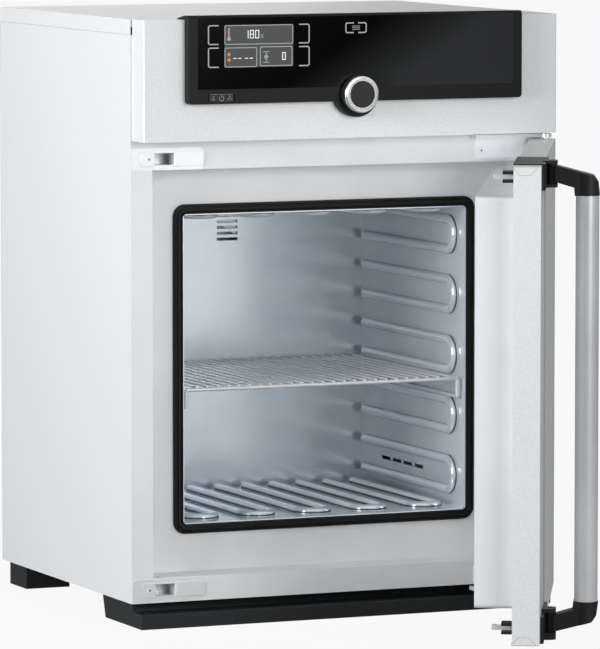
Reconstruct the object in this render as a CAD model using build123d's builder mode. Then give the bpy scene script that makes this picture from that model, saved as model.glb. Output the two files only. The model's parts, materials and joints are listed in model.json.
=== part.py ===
"""Laboratory oven: bench cabinet with a side-hinged door, ribbed steel chamber and front control panel.

Millimetres. X runs to the right and Y to the back as seen from the front, Z is up from the floor.
The plane y = 0 is the front of the cabinet, and x = 0 is its middle. Door pieces are drawn where they
stand when the door is shut, and then swung to the angle at which the oven rests.
"""
import math
import os
from build123d import *

os.makedirs("parts", exist_ok=True)

# Clearances
seat_gap = 0.3        # between pieces of different bodies
joint_play = 0.05     # radial play of a pin in its bore
slip = 0.1            # a piece dropped into its pocket

# Cabinet
case_width = 585.0
case_depth = 473.8
case_top = 784.0
foot_height = 34.1
sheet = 1.0
cover_flange = 19.5
cover_setback = 1.5
pan_upturn = 7.0
return_flange = 12.0

# Front frame and the recess that the door plug enters
frame_sheet = 1.2
recess_half = 263.0
recess_bottom = 65.6
recess_top = 591.0
recess_depth = 52.0

# Control header
header_width = 580.0
header_proud = 39.3
header_bottom = 628.8
header_window_half = 200.0
header_window_bottom = 704.0
header_window_top = 772.0

# Working chamber
chamber_half = 200.0
chamber_bottom = 128.5
chamber_height = 400.0
chamber_depth = 331.0
liner_sheet = 1.2
liner_lip = 4.0       # how far the liner stands out of the recess plane

# Beads pressed into the liner: a U of two legs, open to the back
bead_width = 12.5
bead_rise = 8.0
bead_pitch = 40.0
bead_tip = 77.0       # y of the bend's outermost centre line
bead_back = 367.0
beads_per_wall = 5
side_bead_first = 149.0

# Air slots
inlet_slot_length = 29.0
inlet_slot_pitch = 35.5
inlet_slot_height = 5.0
inlet_slot_first = 194.0
inlet_slot_z = 169.0
vent_slot_half = 15.2
vent_slot_height = 4.2
vent_slot_pitch = 8.0
vent_slots = 5
vent_z = 484.0

# Temperature probe in the left wall
probe_y = 300.0
probe_z = 449.0
probe_radius = 2.5

# Door gasket
gasket_width = 12.5
gasket_gap = 0.3
gasket_seat = 3.0
gasket_height = 6.0
gasket_inner_corner = 0.5
lip_width = 2.6

# Door, in the place where it is shut
door_half = 290.0
door_bottom = 34.0
door_top = 620.0
door_outer = -36.0
door_inner = -2.5
door_sheet = 1.0
plug_half = 251.0
plug_bottom = 74.5
plug_top = 580.7
plug_reach = 45.4
plug_corner = 5.0
hinge_x = 283.0
hinge_y = -24.0
door_angle = 62.4

# Door hinge
hinge_pin_radius = 4.0
bush_wall = 2.0
bush_length = 24.0
bracket_left = 191.0
bracket_right = 290.0
bracket_sheet = 1.0
bracket_drop = 27.0
arm_thickness = 4.6
arm_gap = 2.2
arm_front = -31.0
adjuster_radius = 8.0
adjuster_bottom = 6.5

# Latch
latch_top_z = 605.2
latch_bottom_z = 50.6
hook_pivot_x = -243.0
hook_pivot_y = -18.0
hook_thickness = 4.0
hook_height = 6.2
hook_reach = 24.0
hook_nose = 6.0
hook_nose_depth = 5.4
hook_eye_radius = 5.0
hook_pin_radius = 2.5
slot_left = -260.0
slot_right = -233.0
slot_height = 15.2
catch_width = 4.0
catch_depth = 17.8
cup_depth = 28.0
cup_pocket = 7.0
strike_left = -291.0
strike_right = -193.0
strike_height = 28.5
strap_left = -278.0
strap_right = -194.0
strap_height = 17.6
guide_reach = 12.0
guide_half = 11.0

# Latch covers on the door's corners
cover_left = -259.0
cover_right = -118.0
cover_drop = 31.0
cover_front = 4.0
cover_cap = 1.4

# Handle
grip_x = -205.0
grip_y = -90.3
grip_radius = 14.4
grip_wall = 1.6
grip_bottom = 79.0
grip_top = 580.0
socket_depth = 9.0
pivot_y = -46.9
barrel_radius = 6.6
barrel_height = 24.4
barrel_top_z = 606.5
arm_width = 26.0
handle_pin_radius = 3.0
ear_top = 623.0
ear_low_top = 590.0
ear_bottom = 31.5
ear_high_bottom = 70.0

# Control panel
bezel_half = 234.0
bezel_bottom = 676.7
bezel_top = 789.5
bezel_front = -52.0
bezel_shelf = -15.0
bezel_corner = 5.0
boss_radius = 30.0
boss_z = 686.0
glass_half = 221.0
glass_bottom = 695.4
glass_top = 786.3
glass_thickness = 3.0
window_rim = 8.0
knob_radius = 23.8
knob_back = -54.5
knob_front = -70.0
cap_radius = 17.1
shaft_radius = 3.0
push_travel = 2.0
key_left = -207.0
key_right = -171.0
key_bottom = 679.0
key_top = 689.6
key_depth = 6.0
display_left = -188.0
display_right = -86.0
display_bottom = 720.0
display_top = 779.0

# Shelf
shelf_wires = 25
wire_pitch = 15.0
wire_radius = 1.5
bar_radius = 2.5
shelf_front = 57.5
shelf_back = 366.0
shelf_z = 304.0
shelf_bead_z = 269.0
runner_radius = 2.5
weld_bite = 0.7

# Feet
foot_outer = 279.5
foot_front = -2.0
toe_height = 19.5
toe_depth = 28.0
foot_rear_low = 126.0
foot_rear_high = 137.0
middle_left = -138.0
middle_right = 164.0
middle_depth = 62.0
foot_wall = 3.0
rear_foot_front = 417.0
rear_foot_back = 480.0
rear_foot_width = 62.0

# Inside of the cabinet
shelf_floor_z = 645.0
wadding_half = 289.0
wadding_bottom = 66.0
heater_size = 5.0
heater_rows = 4
heater_pitch = 80.0
duct_depth = 20.0
flap_pivot_x = 34.0
flap_rest = 35.0
flap_length = 56.0
flap_width = 42.0
flap_sheet = 1.5
pipe_radius = 18.0

case_half = case_width / 2
cover_bottom = case_top - cover_flange
chamber_back_y = recess_depth + chamber_depth
chamber_top = chamber_bottom + chamber_height
chamber_mid = chamber_bottom + chamber_height / 2
liner_front = recess_depth - liner_lip
liner_half = chamber_half + liner_sheet
bead_bend = bead_pitch / 2
bead_run = bead_back - bead_tip - bead_bend
rear_inner_y = case_depth - sheet

hinge_line = Vector(hinge_x, hinge_y, 0)


def door_plane(origin, x_dir, z_dir):
    """Drawing plane given on the shut door and swung with it about the hinge line."""
    place = (Vector(*origin) - hinge_line).rotate(Axis.Z, door_angle) + hinge_line
    across = Vector(*x_dir).rotate(Axis.Z, door_angle)
    normal = Vector(*z_dir).rotate(Axis.Z, door_angle)
    return Plane(origin=place, x_dir=across, z_dir=normal)


def door_level(z):
    """Horizontal drawing plane that is turned with the door."""
    return door_plane((0, 0, z), (1, 0, 0), (0, 0, 1))


def door_front(y):
    """Upright plane along the door at y: sketch x runs along the door, sketch y is z."""
    return door_plane((0, y, 0), (1, 0, 0), (0, -1, 0))


def door_side(x):
    """Upright plane across the door at x: sketch x runs through the door, sketch y is z."""
    return door_plane((x, 0, 0), (0, 1, 0), (1, 0, 0))


def span(x0, x1, y0, y1, mode=Mode.ADD):
    """Rectangle in the current sketch, given by its edges."""
    with Locations(((x0 + x1) / 2, (y0 + y1) / 2)):
        Rectangle(x1 - x0, y1 - y0, mode=mode)


def slab(x0, x1, y0, y1, z0, z1, mode=Mode.ADD, level=Plane.XY.offset):
    """Plate or block between two corners, on a level of the cabinet or of the door."""
    with BuildSketch(level(z0)) as outline:
        span(x0, x1, y0, y1)
    extrude(outline.sketch, amount=z1 - z0, mode=mode)


def front_plane(y):
    """Upright plane facing the front at y: sketch x is the oven's x, sketch y its z."""
    return Plane(origin=(0, y, 0), x_dir=(1, 0, 0), z_dir=(0, -1, 0))


def side_plane(x):
    """Upright plane across the oven at x: sketch x is the oven's y, sketch y its z."""
    return Plane(origin=(x, 0, 0), x_dir=(0, 1, 0), z_dir=(1, 0, 0))


def save(part, name):
    """Label a finished piece and write its STEP file."""
    part.label = name
    export_step(part, f"parts/{name}.step")


# Cabinet shells
def side_panel(side, name):
    """Side sheet with a return flange at the back and one under the cover."""
    edge = side * case_half
    inner = side * (case_half - sheet)
    flange = side * (case_half - return_flange)
    with BuildPart() as panel:
        with BuildSketch(Plane.XY.offset(foot_height)) as plan:
            span(min(edge, inner), max(edge, inner), 0, rear_inner_y)
            span(min(inner, flange), max(inner, flange), rear_inner_y - sheet, rear_inner_y)
        extrude(plan.sketch, amount=cover_bottom - seat_gap - foot_height)
        top = cover_bottom - seat_gap
        slab(min(inner, flange), max(inner, flange), return_flange, rear_inner_y - sheet, top - sheet, top)
    save(panel.part, name)


side_panel(-1, "side_panel_left")
side_panel(1, "side_panel_right")

with BuildPart() as top_cover:
    slab(-case_half, case_half, cover_setback, case_depth, cover_bottom, case_top)
    slab(-case_half + sheet, case_half - sheet, cover_setback + sheet, case_depth - sheet,
         cover_bottom, case_top - sheet, mode=Mode.SUBTRACT)
    slab(-case_half + sheet, case_half - sheet, cover_setback, cover_setback + sheet,
         cover_bottom, case_top - cover_flange / 2, mode=Mode.SUBTRACT)
save(top_cover.part, "top_cover")

inlet_x = 190.0
inlet_z = 92.0
inlet_cut = (30.0, 26.0)
with BuildPart() as rear_panel:
    with BuildSketch(front_plane(case_depth)) as plate:
        span(-case_half, case_half, foot_height, cover_bottom - seat_gap)
        with Locations((inlet_x, inlet_z)):
            RectangleRounded(*inlet_cut, 3, mode=Mode.SUBTRACT)
        with Locations((0, vent_z)):
            Circle(pipe_radius + slip, mode=Mode.SUBTRACT)
        with Locations((0, (shelf_floor_z + cover_bottom) / 2)):
            with GridLocations(70, 14, 6, 4):
                SlotOverall(52, 5, mode=Mode.SUBTRACT)
    extrude(plate.sketch, amount=sheet)
save(rear_panel.part, "rear_panel")

with BuildPart() as base_pan:
    slab(-case_half + sheet, case_half - sheet, frame_sheet, rear_inner_y - sheet,
         foot_height, foot_height + pan_upturn)
    slab(-case_half + 2 * sheet, case_half - 2 * sheet, frame_sheet + sheet, rear_inner_y - 2 * sheet,
         foot_height + frame_sheet, foot_height + pan_upturn, mode=Mode.SUBTRACT)
save(base_pan.part, "base_pan")

# Header shell: front, top, bottom and ends, open to the cabinet behind it
with BuildPart() as control_header:
    with BuildSketch(side_plane(-header_width / 2)) as profile:
        span(-header_proud, 0, header_bottom, case_top)
    extrude(profile.sketch, amount=header_width)
    corner_edges = control_header.edges().filter_by(Axis.Z).group_by(Axis.Y)[0]
    fillet(corner_edges, radius=1.5)
    slab(-header_width / 2 + sheet, header_width / 2 - sheet, -header_proud + sheet, 0,
         header_bottom + sheet, case_top - sheet, mode=Mode.SUBTRACT)
    with BuildSketch(front_plane(-header_proud + sheet)) as openings:
        span(-header_window_half, header_window_half, header_window_bottom, header_window_top)
        with Locations((0, boss_z)):
            Circle(6)
        with Locations(((key_left + key_right) / 2, (key_bottom + key_top) / 2)):
            Rectangle(20, 8)
    extrude(openings.sketch, amount=sheet, mode=Mode.SUBTRACT)
save(control_header.part, "control_header")

# Front frame with the recess opening, the strike cups' cut-outs and a window behind the header
with BuildPart() as front_frame:
    with BuildSketch(front_plane(frame_sheet)) as face:
        span(-case_half + sheet, case_half - sheet, foot_height, cover_bottom - seat_gap)
        span(-recess_half, recess_half, recess_bottom, recess_top, mode=Mode.SUBTRACT)
        span(-header_window_half, header_window_half, header_window_bottom - 45, header_window_top - 20,
             mode=Mode.SUBTRACT)
        for z in (latch_top_z, latch_bottom_z):
            span(slot_left - 1.6, slot_right + cup_pocket + 1.6, z - slot_height / 2 - 1.6,
                 z + slot_height / 2 + 1.6, mode=Mode.SUBTRACT)
    extrude(face.sketch, amount=frame_sheet)
save(front_frame.part, "front_frame")

# Recess tray: four walls going back to the plane that the chamber opens in
with BuildPart() as door_recess:
    slab(-recess_half - sheet, recess_half + sheet, frame_sheet, recess_depth + frame_sheet,
         recess_bottom - sheet, recess_top + sheet)
    slab(-recess_half, recess_half, frame_sheet, recess_depth, recess_bottom, recess_top,
         mode=Mode.SUBTRACT)
    slab(-liner_half, liner_half, recess_depth, recess_depth + frame_sheet,
         chamber_bottom - liner_sheet, chamber_top + liner_sheet, mode=Mode.SUBTRACT)
save(door_recess.part, "door_recess")


# Chamber walls with U-shaped beads
with BuildPart(mode=Mode.PRIVATE) as bead:
    with BuildLine(Plane.XY) as centre_line:
        Line((bead_run, bead_bend), (0, bead_bend))
        RadiusArc((0, bead_bend), (0, -bead_bend), -bead_bend)
        Line((0, -bead_bend), (bead_run, -bead_bend))
    with BuildSketch(Plane(origin=(bead_run, bead_bend, 0), x_dir=(0, -1, 0), z_dir=(-1, 0, 0))) as crown:
        with BuildLine():
            ThreePointArc((-bead_width / 2, 0), (0, bead_rise), (bead_width / 2, 0))
            Line((bead_width / 2, 0), (-bead_width / 2, 0))
        make_face()
    sweep(crown.sketch, path=centre_line.wires()[0])
    for leg in (bead_bend, -bead_bend):
        with BuildSketch(Plane.XZ.offset(-leg)) as end_profile:
            with BuildLine():
                RadiusArc((bead_run, bead_rise), (bead_run + bead_width / 2, 0), bead_width / 2 + 0.9)
                Line((bead_run + bead_width / 2, 0), (bead_run, 0))
                Line((bead_run, 0), (bead_run, bead_rise))
            make_face()
        revolve(end_profile.sketch, axis=Axis((bead_run, leg, 0), (0, 0, 1)), revolution_arc=180)


def bead_place(x, z, inward):
    """Place for a bead whose legs run to the back and which rises along `inward`."""
    return Plane(origin=(x, bead_tip + bead_bend, z), x_dir=(0, 1, 0), z_dir=inward).location


def side_wall(side, name):
    """Side wall of the chamber, with the air inlet slots low in the right one."""
    inner = side * chamber_half
    outer = side * liner_half
    with BuildPart() as wall:
        slab(min(inner, outer), max(inner, outer), liner_front, chamber_back_y,
             chamber_bottom - liner_sheet, chamber_top + liner_sheet)
        for number in range(beads_per_wall):
            z = side_bead_first + bead_pitch / 2 + 2 * bead_pitch * number
            add(bead_place(inner, z, (-side, 0, 0)) * bead.part)
        if side > 0:
            for number in range(4):
                y = inlet_slot_first + inlet_slot_pitch * number
                slab(chamber_half, liner_half, y - inlet_slot_length / 2, y + inlet_slot_length / 2,
                     inlet_slot_z - inlet_slot_height / 2, inlet_slot_z + inlet_slot_height / 2,
                     mode=Mode.SUBTRACT)
        else:
            with BuildSketch(side_plane(-liner_half)) as probe_hole:
                with Locations((probe_y, probe_z)):
                    Circle(probe_radius + slip)
            extrude(probe_hole.sketch, amount=liner_sheet, mode=Mode.SUBTRACT)
    save(wall.part, name)


def level_wall(z, up, name):
    """Floor or ceiling of the chamber."""
    with BuildPart() as wall:
        slab(-chamber_half, chamber_half, liner_front, chamber_back_y, min(z, z - up * liner_sheet),
             max(z, z - up * liner_sheet))
        for number in range(beads_per_wall):
            x = 2 * bead_pitch * (number - (beads_per_wall - 1) / 2)
            add(bead_place(x, z, (0, 0, up)) * bead.part)
    save(wall.part, name)


side_wall(-1, "chamber_wall_left")
side_wall(1, "chamber_wall_right")
level_wall(chamber_bottom, 1, "chamber_floor")
level_wall(chamber_top, -1, "chamber_ceiling")

with BuildPart() as chamber_back_wall:
    with BuildSketch(front_plane(chamber_back_y + liner_sheet)) as plate:
        span(-liner_half, liner_half, chamber_bottom - liner_sheet, chamber_top + liner_sheet)
        for number in range(vent_slots):
            z = vent_z + vent_slot_pitch * (number - (vent_slots - 1) / 2)
            span(-vent_slot_half, vent_slot_half, z - vent_slot_height / 2, z + vent_slot_height / 2,
                 mode=Mode.SUBTRACT)
    extrude(plate.sketch, amount=liner_sheet)
save(chamber_back_wall.part, "chamber_back_wall")


# Gasket: a seat with three soft lips, round the liner's front edge
def gasket_ring(outset, width, back, height):
    """One closed band of the gasket, `outset` away from its inner edge."""
    low = chamber_bottom - liner_sheet - gasket_gap
    high = chamber_top + liner_sheet + gasket_gap
    half = liner_half + gasket_gap
    outer = outset + width
    with BuildSketch(front_plane(back)) as band:
        with Locations((0, (low + high) / 2)):
            RectangleRounded(2 * (half + outer), high - low + 2 * outer, gasket_inner_corner + outer)
            if outset > 0:
                RectangleRounded(2 * (half + outset), high - low + 2 * outset,
                                 gasket_inner_corner + outset, mode=Mode.SUBTRACT)
            else:
                RectangleRounded(2 * half, high - low, gasket_inner_corner, mode=Mode.SUBTRACT)
    extrude(band.sketch, amount=height)


with BuildPart() as door_gasket:
    gasket_ring(0, gasket_width, recess_depth, gasket_seat)
    for lip_outset in (0, (gasket_width - lip_width) / 2, gasket_width - lip_width):
        gasket_ring(lip_outset, lip_width, recess_depth - gasket_seat, gasket_height - gasket_seat)
save(door_gasket.part, "door_gasket")


# Strikes: plate, raised strap and a cup whose right side is undercut for the hook's nose
def strike(z):
    """One strike round the level z."""
    low = z - slot_height / 2
    high = z + slot_height / 2
    with BuildSketch(front_plane(0)) as plate:
        with Locations(((strike_left + strike_right) / 2, z)):
            RectangleRounded(strike_right - strike_left, strike_height, 5)
        span(slot_left, slot_right, low, high, mode=Mode.SUBTRACT)
    extrude(plate.sketch, amount=0.5)
    with BuildSketch(front_plane(-0.5)) as strap:
        with Locations(((strap_left + strap_right) / 2, z)):
            RectangleRounded(strap_right - strap_left, strap_height, 2)
        span(slot_left, slot_right, low, high, mode=Mode.SUBTRACT)
    extrude(strap.sketch, amount=0.7)
    cup_right = slot_right + cup_pocket
    with BuildSketch(Plane.XY.offset(low - 1)) as cup:
        span(slot_left - 1, cup_right + 1, 0, cup_depth + 1)
    extrude(cup.sketch, amount=slot_height + 2)
    slab(slot_left, slot_right, 0, cup_depth, low, high, mode=Mode.SUBTRACT)
    slab(slot_right, cup_right, catch_depth, cup_depth, low, high, mode=Mode.SUBTRACT)
    slab(slot_right + catch_width, cup_right + 1, 0, catch_depth - 1, low - 1, high + 1, mode=Mode.SUBTRACT)


with BuildPart() as strike_plates:
    for latch_z in (latch_top_z, latch_bottom_z):
        strike(latch_z)
save(strike_plates.part, "strike_plates")


# Door hinge brackets on the front frame
def hinge_bracket(frame_edge, arm_level, reach, name):
    """Plate on the frame, arm level with the door's end, and a pin that enters the door."""
    with BuildPart() as bracket:
        with BuildSketch(front_plane(0)) as plate:
            span(bracket_left, bracket_right, min(frame_edge, arm_level), max(frame_edge, arm_level))
            corner = plate.vertices().sort_by(lambda v: v.X - reach * v.Y)[0]
            fillet(corner, radius=6)
        extrude(plate.sketch, amount=bracket_sheet)
        with BuildSketch(Plane.XY.offset(arm_level - (arm_thickness if reach < 0 else 0))) as arm:
            span(bracket_left - 6, bracket_right, -16, 0)
            with Locations((hinge_x, hinge_y)):
                Circle(7)
            span(hinge_x - 7, bracket_right, hinge_y, 0)
        extrude(arm.sketch, amount=arm_thickness)
        with BuildSketch(Plane.XY.offset(arm_level)) as pin:
            with Locations((hinge_x, hinge_y)):
                Circle(hinge_pin_radius)
        extrude(pin.sketch, amount=-reach * (arm_gap + bush_length - 2))
    save(bracket.part, name)


hinge_bracket(door_top + arm_gap - bracket_drop, door_top + arm_gap, 1, "hinge_bracket_top")
hinge_bracket(door_bottom - arm_gap + bracket_drop, door_bottom - arm_gap, -1, "hinge_bracket_bottom")

with BuildPart() as hinge_adjuster:
    with BuildSketch(Plane.XY.offset(adjuster_bottom)) as nut:
        with Locations((hinge_x, hinge_y)):
            Circle(adjuster_radius)
    extrude(nut.sketch, amount=door_bottom - arm_gap - arm_thickness - adjuster_bottom)
    chamfer(hinge_adjuster.faces().sort_by(Axis.Z)[0].edges(), length=1.5)
save(hinge_adjuster.part, "hinge_adjuster")

screw_head_radius = 4.0
screw_head_rise = 0.8
with BuildPart() as frame_screws:
    for z in (latch_top_z, latch_bottom_z):
        with BuildSketch(front_plane(-1.2)) as heads:
            with Locations((strap_left + 10, z), (strap_right - 7, z)):
                Circle(screw_head_radius)
        extrude(heads.sketch, amount=screw_head_rise, taper=30)
    with BuildSketch(front_plane(-bracket_sheet)) as heads:
        with Locations((bracket_left + 9, latch_top_z), (bracket_left + 9, latch_bottom_z - 3)):
            Circle(screw_head_radius)
    extrude(heads.sketch, amount=screw_head_rise, taper=30)
save(frame_screws.part, "frame_screws")


# Heating rods: flat serpentines between the liner and the wadding
def serpentine(plane, length, rows, pitch):
    """Rod of square section that runs to and fro, centred on the plane's origin."""
    with BuildSketch(plane) as rod:
        for row in range(rows):
            y = pitch * (row - (rows - 1) / 2)
            span(-length / 2, length / 2, y - heater_size / 2, y + heater_size / 2)
        for gap in range(rows - 1):
            y = pitch * (gap - (rows - 2) / 2)
            x = length / 2 if gap % 2 else -length / 2
            span(x - heater_size / 2, x + heater_size / 2, y - (pitch + heater_size) / 2,
                 y + (pitch + heater_size) / 2)
    extrude(rod.sketch, amount=heater_size)


heater_y = recess_depth + chamber_depth / 2
heater_offset = liner_half + slip
with BuildPart() as side_heaters:
    for side in (-1, 1):
        serpentine(Plane(origin=(side * heater_offset, heater_y, chamber_mid + 60), x_dir=(0, 1, 0),
                         z_dir=(side, 0, 0)), chamber_depth - 60, 3, heater_pitch)
save(side_heaters.part, "side_heaters")

with BuildPart() as floor_and_ceiling_heaters:
    for up, z in ((-1, chamber_bottom - liner_sheet - slip), (1, chamber_top + liner_sheet + slip)):
        serpentine(Plane(origin=(0, heater_y, z), x_dir=(0, 1, 0), z_dir=(0, 0, up)),
                   chamber_depth - 60, heater_rows, heater_pitch)
save(floor_and_ceiling_heaters.part, "floor_and_ceiling_heaters")

# Mineral-wool wadding: a block with a hollow for the chamber and its heaters
duct_front = chamber_back_y + liner_sheet + slip
wadding_gap = heater_size + 2 * slip
with BuildPart() as insulation:
    slab(-wadding_half, wadding_half, recess_depth + frame_sheet + slip, rear_inner_y - 8,
         wadding_bottom, shelf_floor_z - slip)
    slab(-liner_half - wadding_gap, liner_half + wadding_gap, recess_depth, chamber_back_y + liner_sheet + slip,
         chamber_bottom - liner_sheet - wadding_gap, chamber_top + liner_sheet + wadding_gap,
         mode=Mode.SUBTRACT)
    slab(-46, 62, duct_front - 1, duct_front + duct_depth + 36, 440, 552, mode=Mode.SUBTRACT)
    with BuildSketch(front_plane(rear_inner_y)) as pipe_way:
        with Locations((0, vent_z)):
            Circle(pipe_radius + slip)
    extrude(pipe_way.sketch, amount=rear_inner_y - duct_front, mode=Mode.SUBTRACT)
    slab(liner_half, liner_half + 13, inlet_slot_first - 20, rear_inner_y, inlet_slot_z - 11, inlet_slot_z + 11,
         mode=Mode.SUBTRACT)
save(insulation.part, "insulation")

with BuildPart() as compartment_shelf:
    slab(-case_half + sheet, case_half - sheet, frame_sheet, rear_inner_y - sheet, shelf_floor_z,
         shelf_floor_z + frame_sheet)
save(compartment_shelf.part, "compartment_shelf")

# Exhaust: box behind the vent, pipe to the back, shutter blade with its motor
with BuildPart() as exhaust_duct:
    slab(-45, 61, duct_front, duct_front + duct_depth, 441, 551)
    slab(-44, 60, duct_front, duct_front + duct_depth - sheet, 442, 550, mode=Mode.SUBTRACT)
    with BuildSketch(front_plane(case_depth)) as pipe:
        with Locations((0, vent_z)):
            Circle(pipe_radius)
    extrude(pipe.sketch, amount=case_depth - duct_front - duct_depth)
    with BuildSketch(front_plane(case_depth)) as bore:
        with Locations((0, vent_z)):
            Circle(pipe_radius - sheet)
    extrude(bore.sketch, amount=case_depth - duct_front - duct_depth + sheet, mode=Mode.SUBTRACT)
    with BuildSketch(front_plane(duct_front + duct_depth)) as shaft_way:
        with Locations((flap_pivot_x, vent_z)):
            Circle(shaft_radius + joint_play)
    extrude(shaft_way.sketch, amount=sheet, mode=Mode.SUBTRACT)
save(exhaust_duct.part, "exhaust_duct")

with BuildPart() as exhaust_flap:
    with BuildSketch(front_plane(duct_front + 2 + flap_sheet)) as blade:
        with Locations((flap_pivot_x, vent_z)):
            Rectangle(flap_length, flap_width, rotation=-flap_rest, align=(Align.MAX, Align.CENTER))
            Circle(flap_width / 2 - 5)
    extrude(blade.sketch, amount=flap_sheet)
    with BuildSketch(front_plane(duct_front + duct_depth + 8)) as spindle:
        with Locations((flap_pivot_x, vent_z)):
            Circle(shaft_radius)
    extrude(spindle.sketch, amount=duct_depth + 8 - 2)
save(exhaust_flap.part, "exhaust_flap")

with BuildPart() as flap_motor:
    with BuildSketch(front_plane(duct_front + duct_depth + 30)) as can:
        with Locations((flap_pivot_x + 3, vent_z)):
            Circle(14)
    extrude(can.sketch, amount=30)
    with BuildSketch(front_plane(duct_front + duct_depth + 10)) as seat:
        with Locations((flap_pivot_x, vent_z)):
            Circle(shaft_radius + joint_play)
    extrude(seat.sketch, amount=10, mode=Mode.SUBTRACT)
save(flap_motor.part, "flap_motor")

with BuildPart() as fresh_air_duct:
    slab(liner_half + slip, liner_half + 12, inlet_slot_first - 19, case_depth - sheet,
         inlet_slot_z - 10, inlet_slot_z + 10)
    slab(liner_half + slip, liner_half + 12 - sheet, inlet_slot_first - 18, case_depth - sheet,
         inlet_slot_z - 9, inlet_slot_z + 9, mode=Mode.SUBTRACT)
save(fresh_air_duct.part, "fresh_air_duct")

with BuildPart() as temperature_probe:
    with BuildSketch(side_plane(-liner_half - heater_size)) as rod:
        with Locations((probe_y, probe_z)):
            Circle(probe_radius)
    extrude(rod.sketch, amount=heater_size + liner_sheet + 14)
    with BuildSketch(side_plane(-chamber_half)) as collar:
        with Locations((probe_y, probe_z)):
            Circle(6)
    extrude(collar.sketch, amount=2)
    fillet(temperature_probe.faces().sort_by(Axis.X)[-1].edges(), radius=1.5)
save(temperature_probe.part, "temperature_probe")

# Electrical pieces
with BuildPart() as power_board:
    slab(-150, 60, 240, 400, shelf_floor_z + frame_sheet, shelf_floor_z + frame_sheet + 8)
    slab(-150, 60, 240, 400, shelf_floor_z + frame_sheet + 8, shelf_floor_z + frame_sheet + 9.6)
    with BuildSketch(Plane.XY.offset(shelf_floor_z + frame_sheet + 9.6)) as cooler:
        with Locations((-100, 320)):
            with GridLocations(6, 0, 9, 1):
                Rectangle(2, 110)
    extrude(cooler.sketch, amount=32)
    slab(-30, 40, 270, 330, shelf_floor_z + frame_sheet + 9.6, shelf_floor_z + frame_sheet + 50)
save(power_board.part, "power_board")

with BuildPart() as temperature_limiter:
    slab(150, 190, 300, 350, shelf_floor_z + frame_sheet, shelf_floor_z + frame_sheet + 34)
    with BuildSketch(Plane.XY.offset(shelf_floor_z + frame_sheet + 34)) as stem:
        with Locations((170, 325)):
            Circle(5)
    extrude(stem.sketch, amount=8)
save(temperature_limiter.part, "temperature_limiter")

with BuildPart() as power_inlet:
    with BuildSketch(front_plane(case_depth + 2)) as collar:
        with Locations((inlet_x, inlet_z)):
            RectangleRounded(36, 32, 3)
    extrude(collar.sketch, amount=2)
    with BuildSketch(front_plane(case_depth)) as housing:
        with Locations((inlet_x, inlet_z)):
            RectangleRounded(inlet_cut[0] - 2 * slip, inlet_cut[1] - 2 * slip, 3)
    extrude(housing.sketch, amount=7.8)
    with BuildSketch(front_plane(case_depth + 2)) as socket:
        with Locations((inlet_x, inlet_z)):
            Rectangle(24, 17)
    extrude(socket.sketch, amount=8, mode=Mode.SUBTRACT)
    with BuildSketch(front_plane(case_depth)) as blades:
        with Locations((inlet_x - 7, inlet_z - 3), (inlet_x, inlet_z + 1), (inlet_x + 7, inlet_z - 3)):
            Rectangle(2, 4)
    extrude(blades.sketch, amount=7)
save(power_inlet.part, "power_inlet")


# Feet
def front_foot(left, right, back_low, back_high, name):
    """Moulded foot: a low toe in front and a taller neck under the cabinet."""
    with BuildPart() as foot:
        with BuildSketch(side_plane(left)) as profile:
            with BuildLine():
                Polyline((foot_front, 0), (foot_front, toe_height), (toe_depth, toe_height + 0.4),
                         (toe_depth + 6, foot_height), (back_high, foot_height), (back_low, 0), (foot_front, 0))
            make_face()
        extrude(profile.sketch, amount=right - left)
        fillet(foot.edges().filter_by(Axis.X).group_by(Axis.Y)[0].sort_by(Axis.Z)[-1], radius=2)
    save(foot.part, name)


front_foot(-foot_outer, middle_left - slip, foot_rear_low, foot_rear_high, "foot_front_left")
front_foot(middle_right + slip, foot_outer, foot_rear_low, foot_rear_high, "foot_front_right")
front_foot(middle_left, middle_right, middle_depth, middle_depth, "plinth_middle")

with BuildPart() as rear_feet:
    for left in (-foot_outer, foot_outer - rear_foot_width):
        with BuildSketch(Plane.XY) as sole:
            with Locations((left + rear_foot_width / 2, (rear_foot_front + rear_foot_back) / 2)):
                Rectangle(rear_foot_width, rear_foot_back - rear_foot_front)
        extrude(sole.sketch, amount=foot_height)
    chamfer(rear_feet.faces().sort_by(Axis.Z)[0].edges(), length=1.0)
save(rear_feet.part, "rear_feet")

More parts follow.
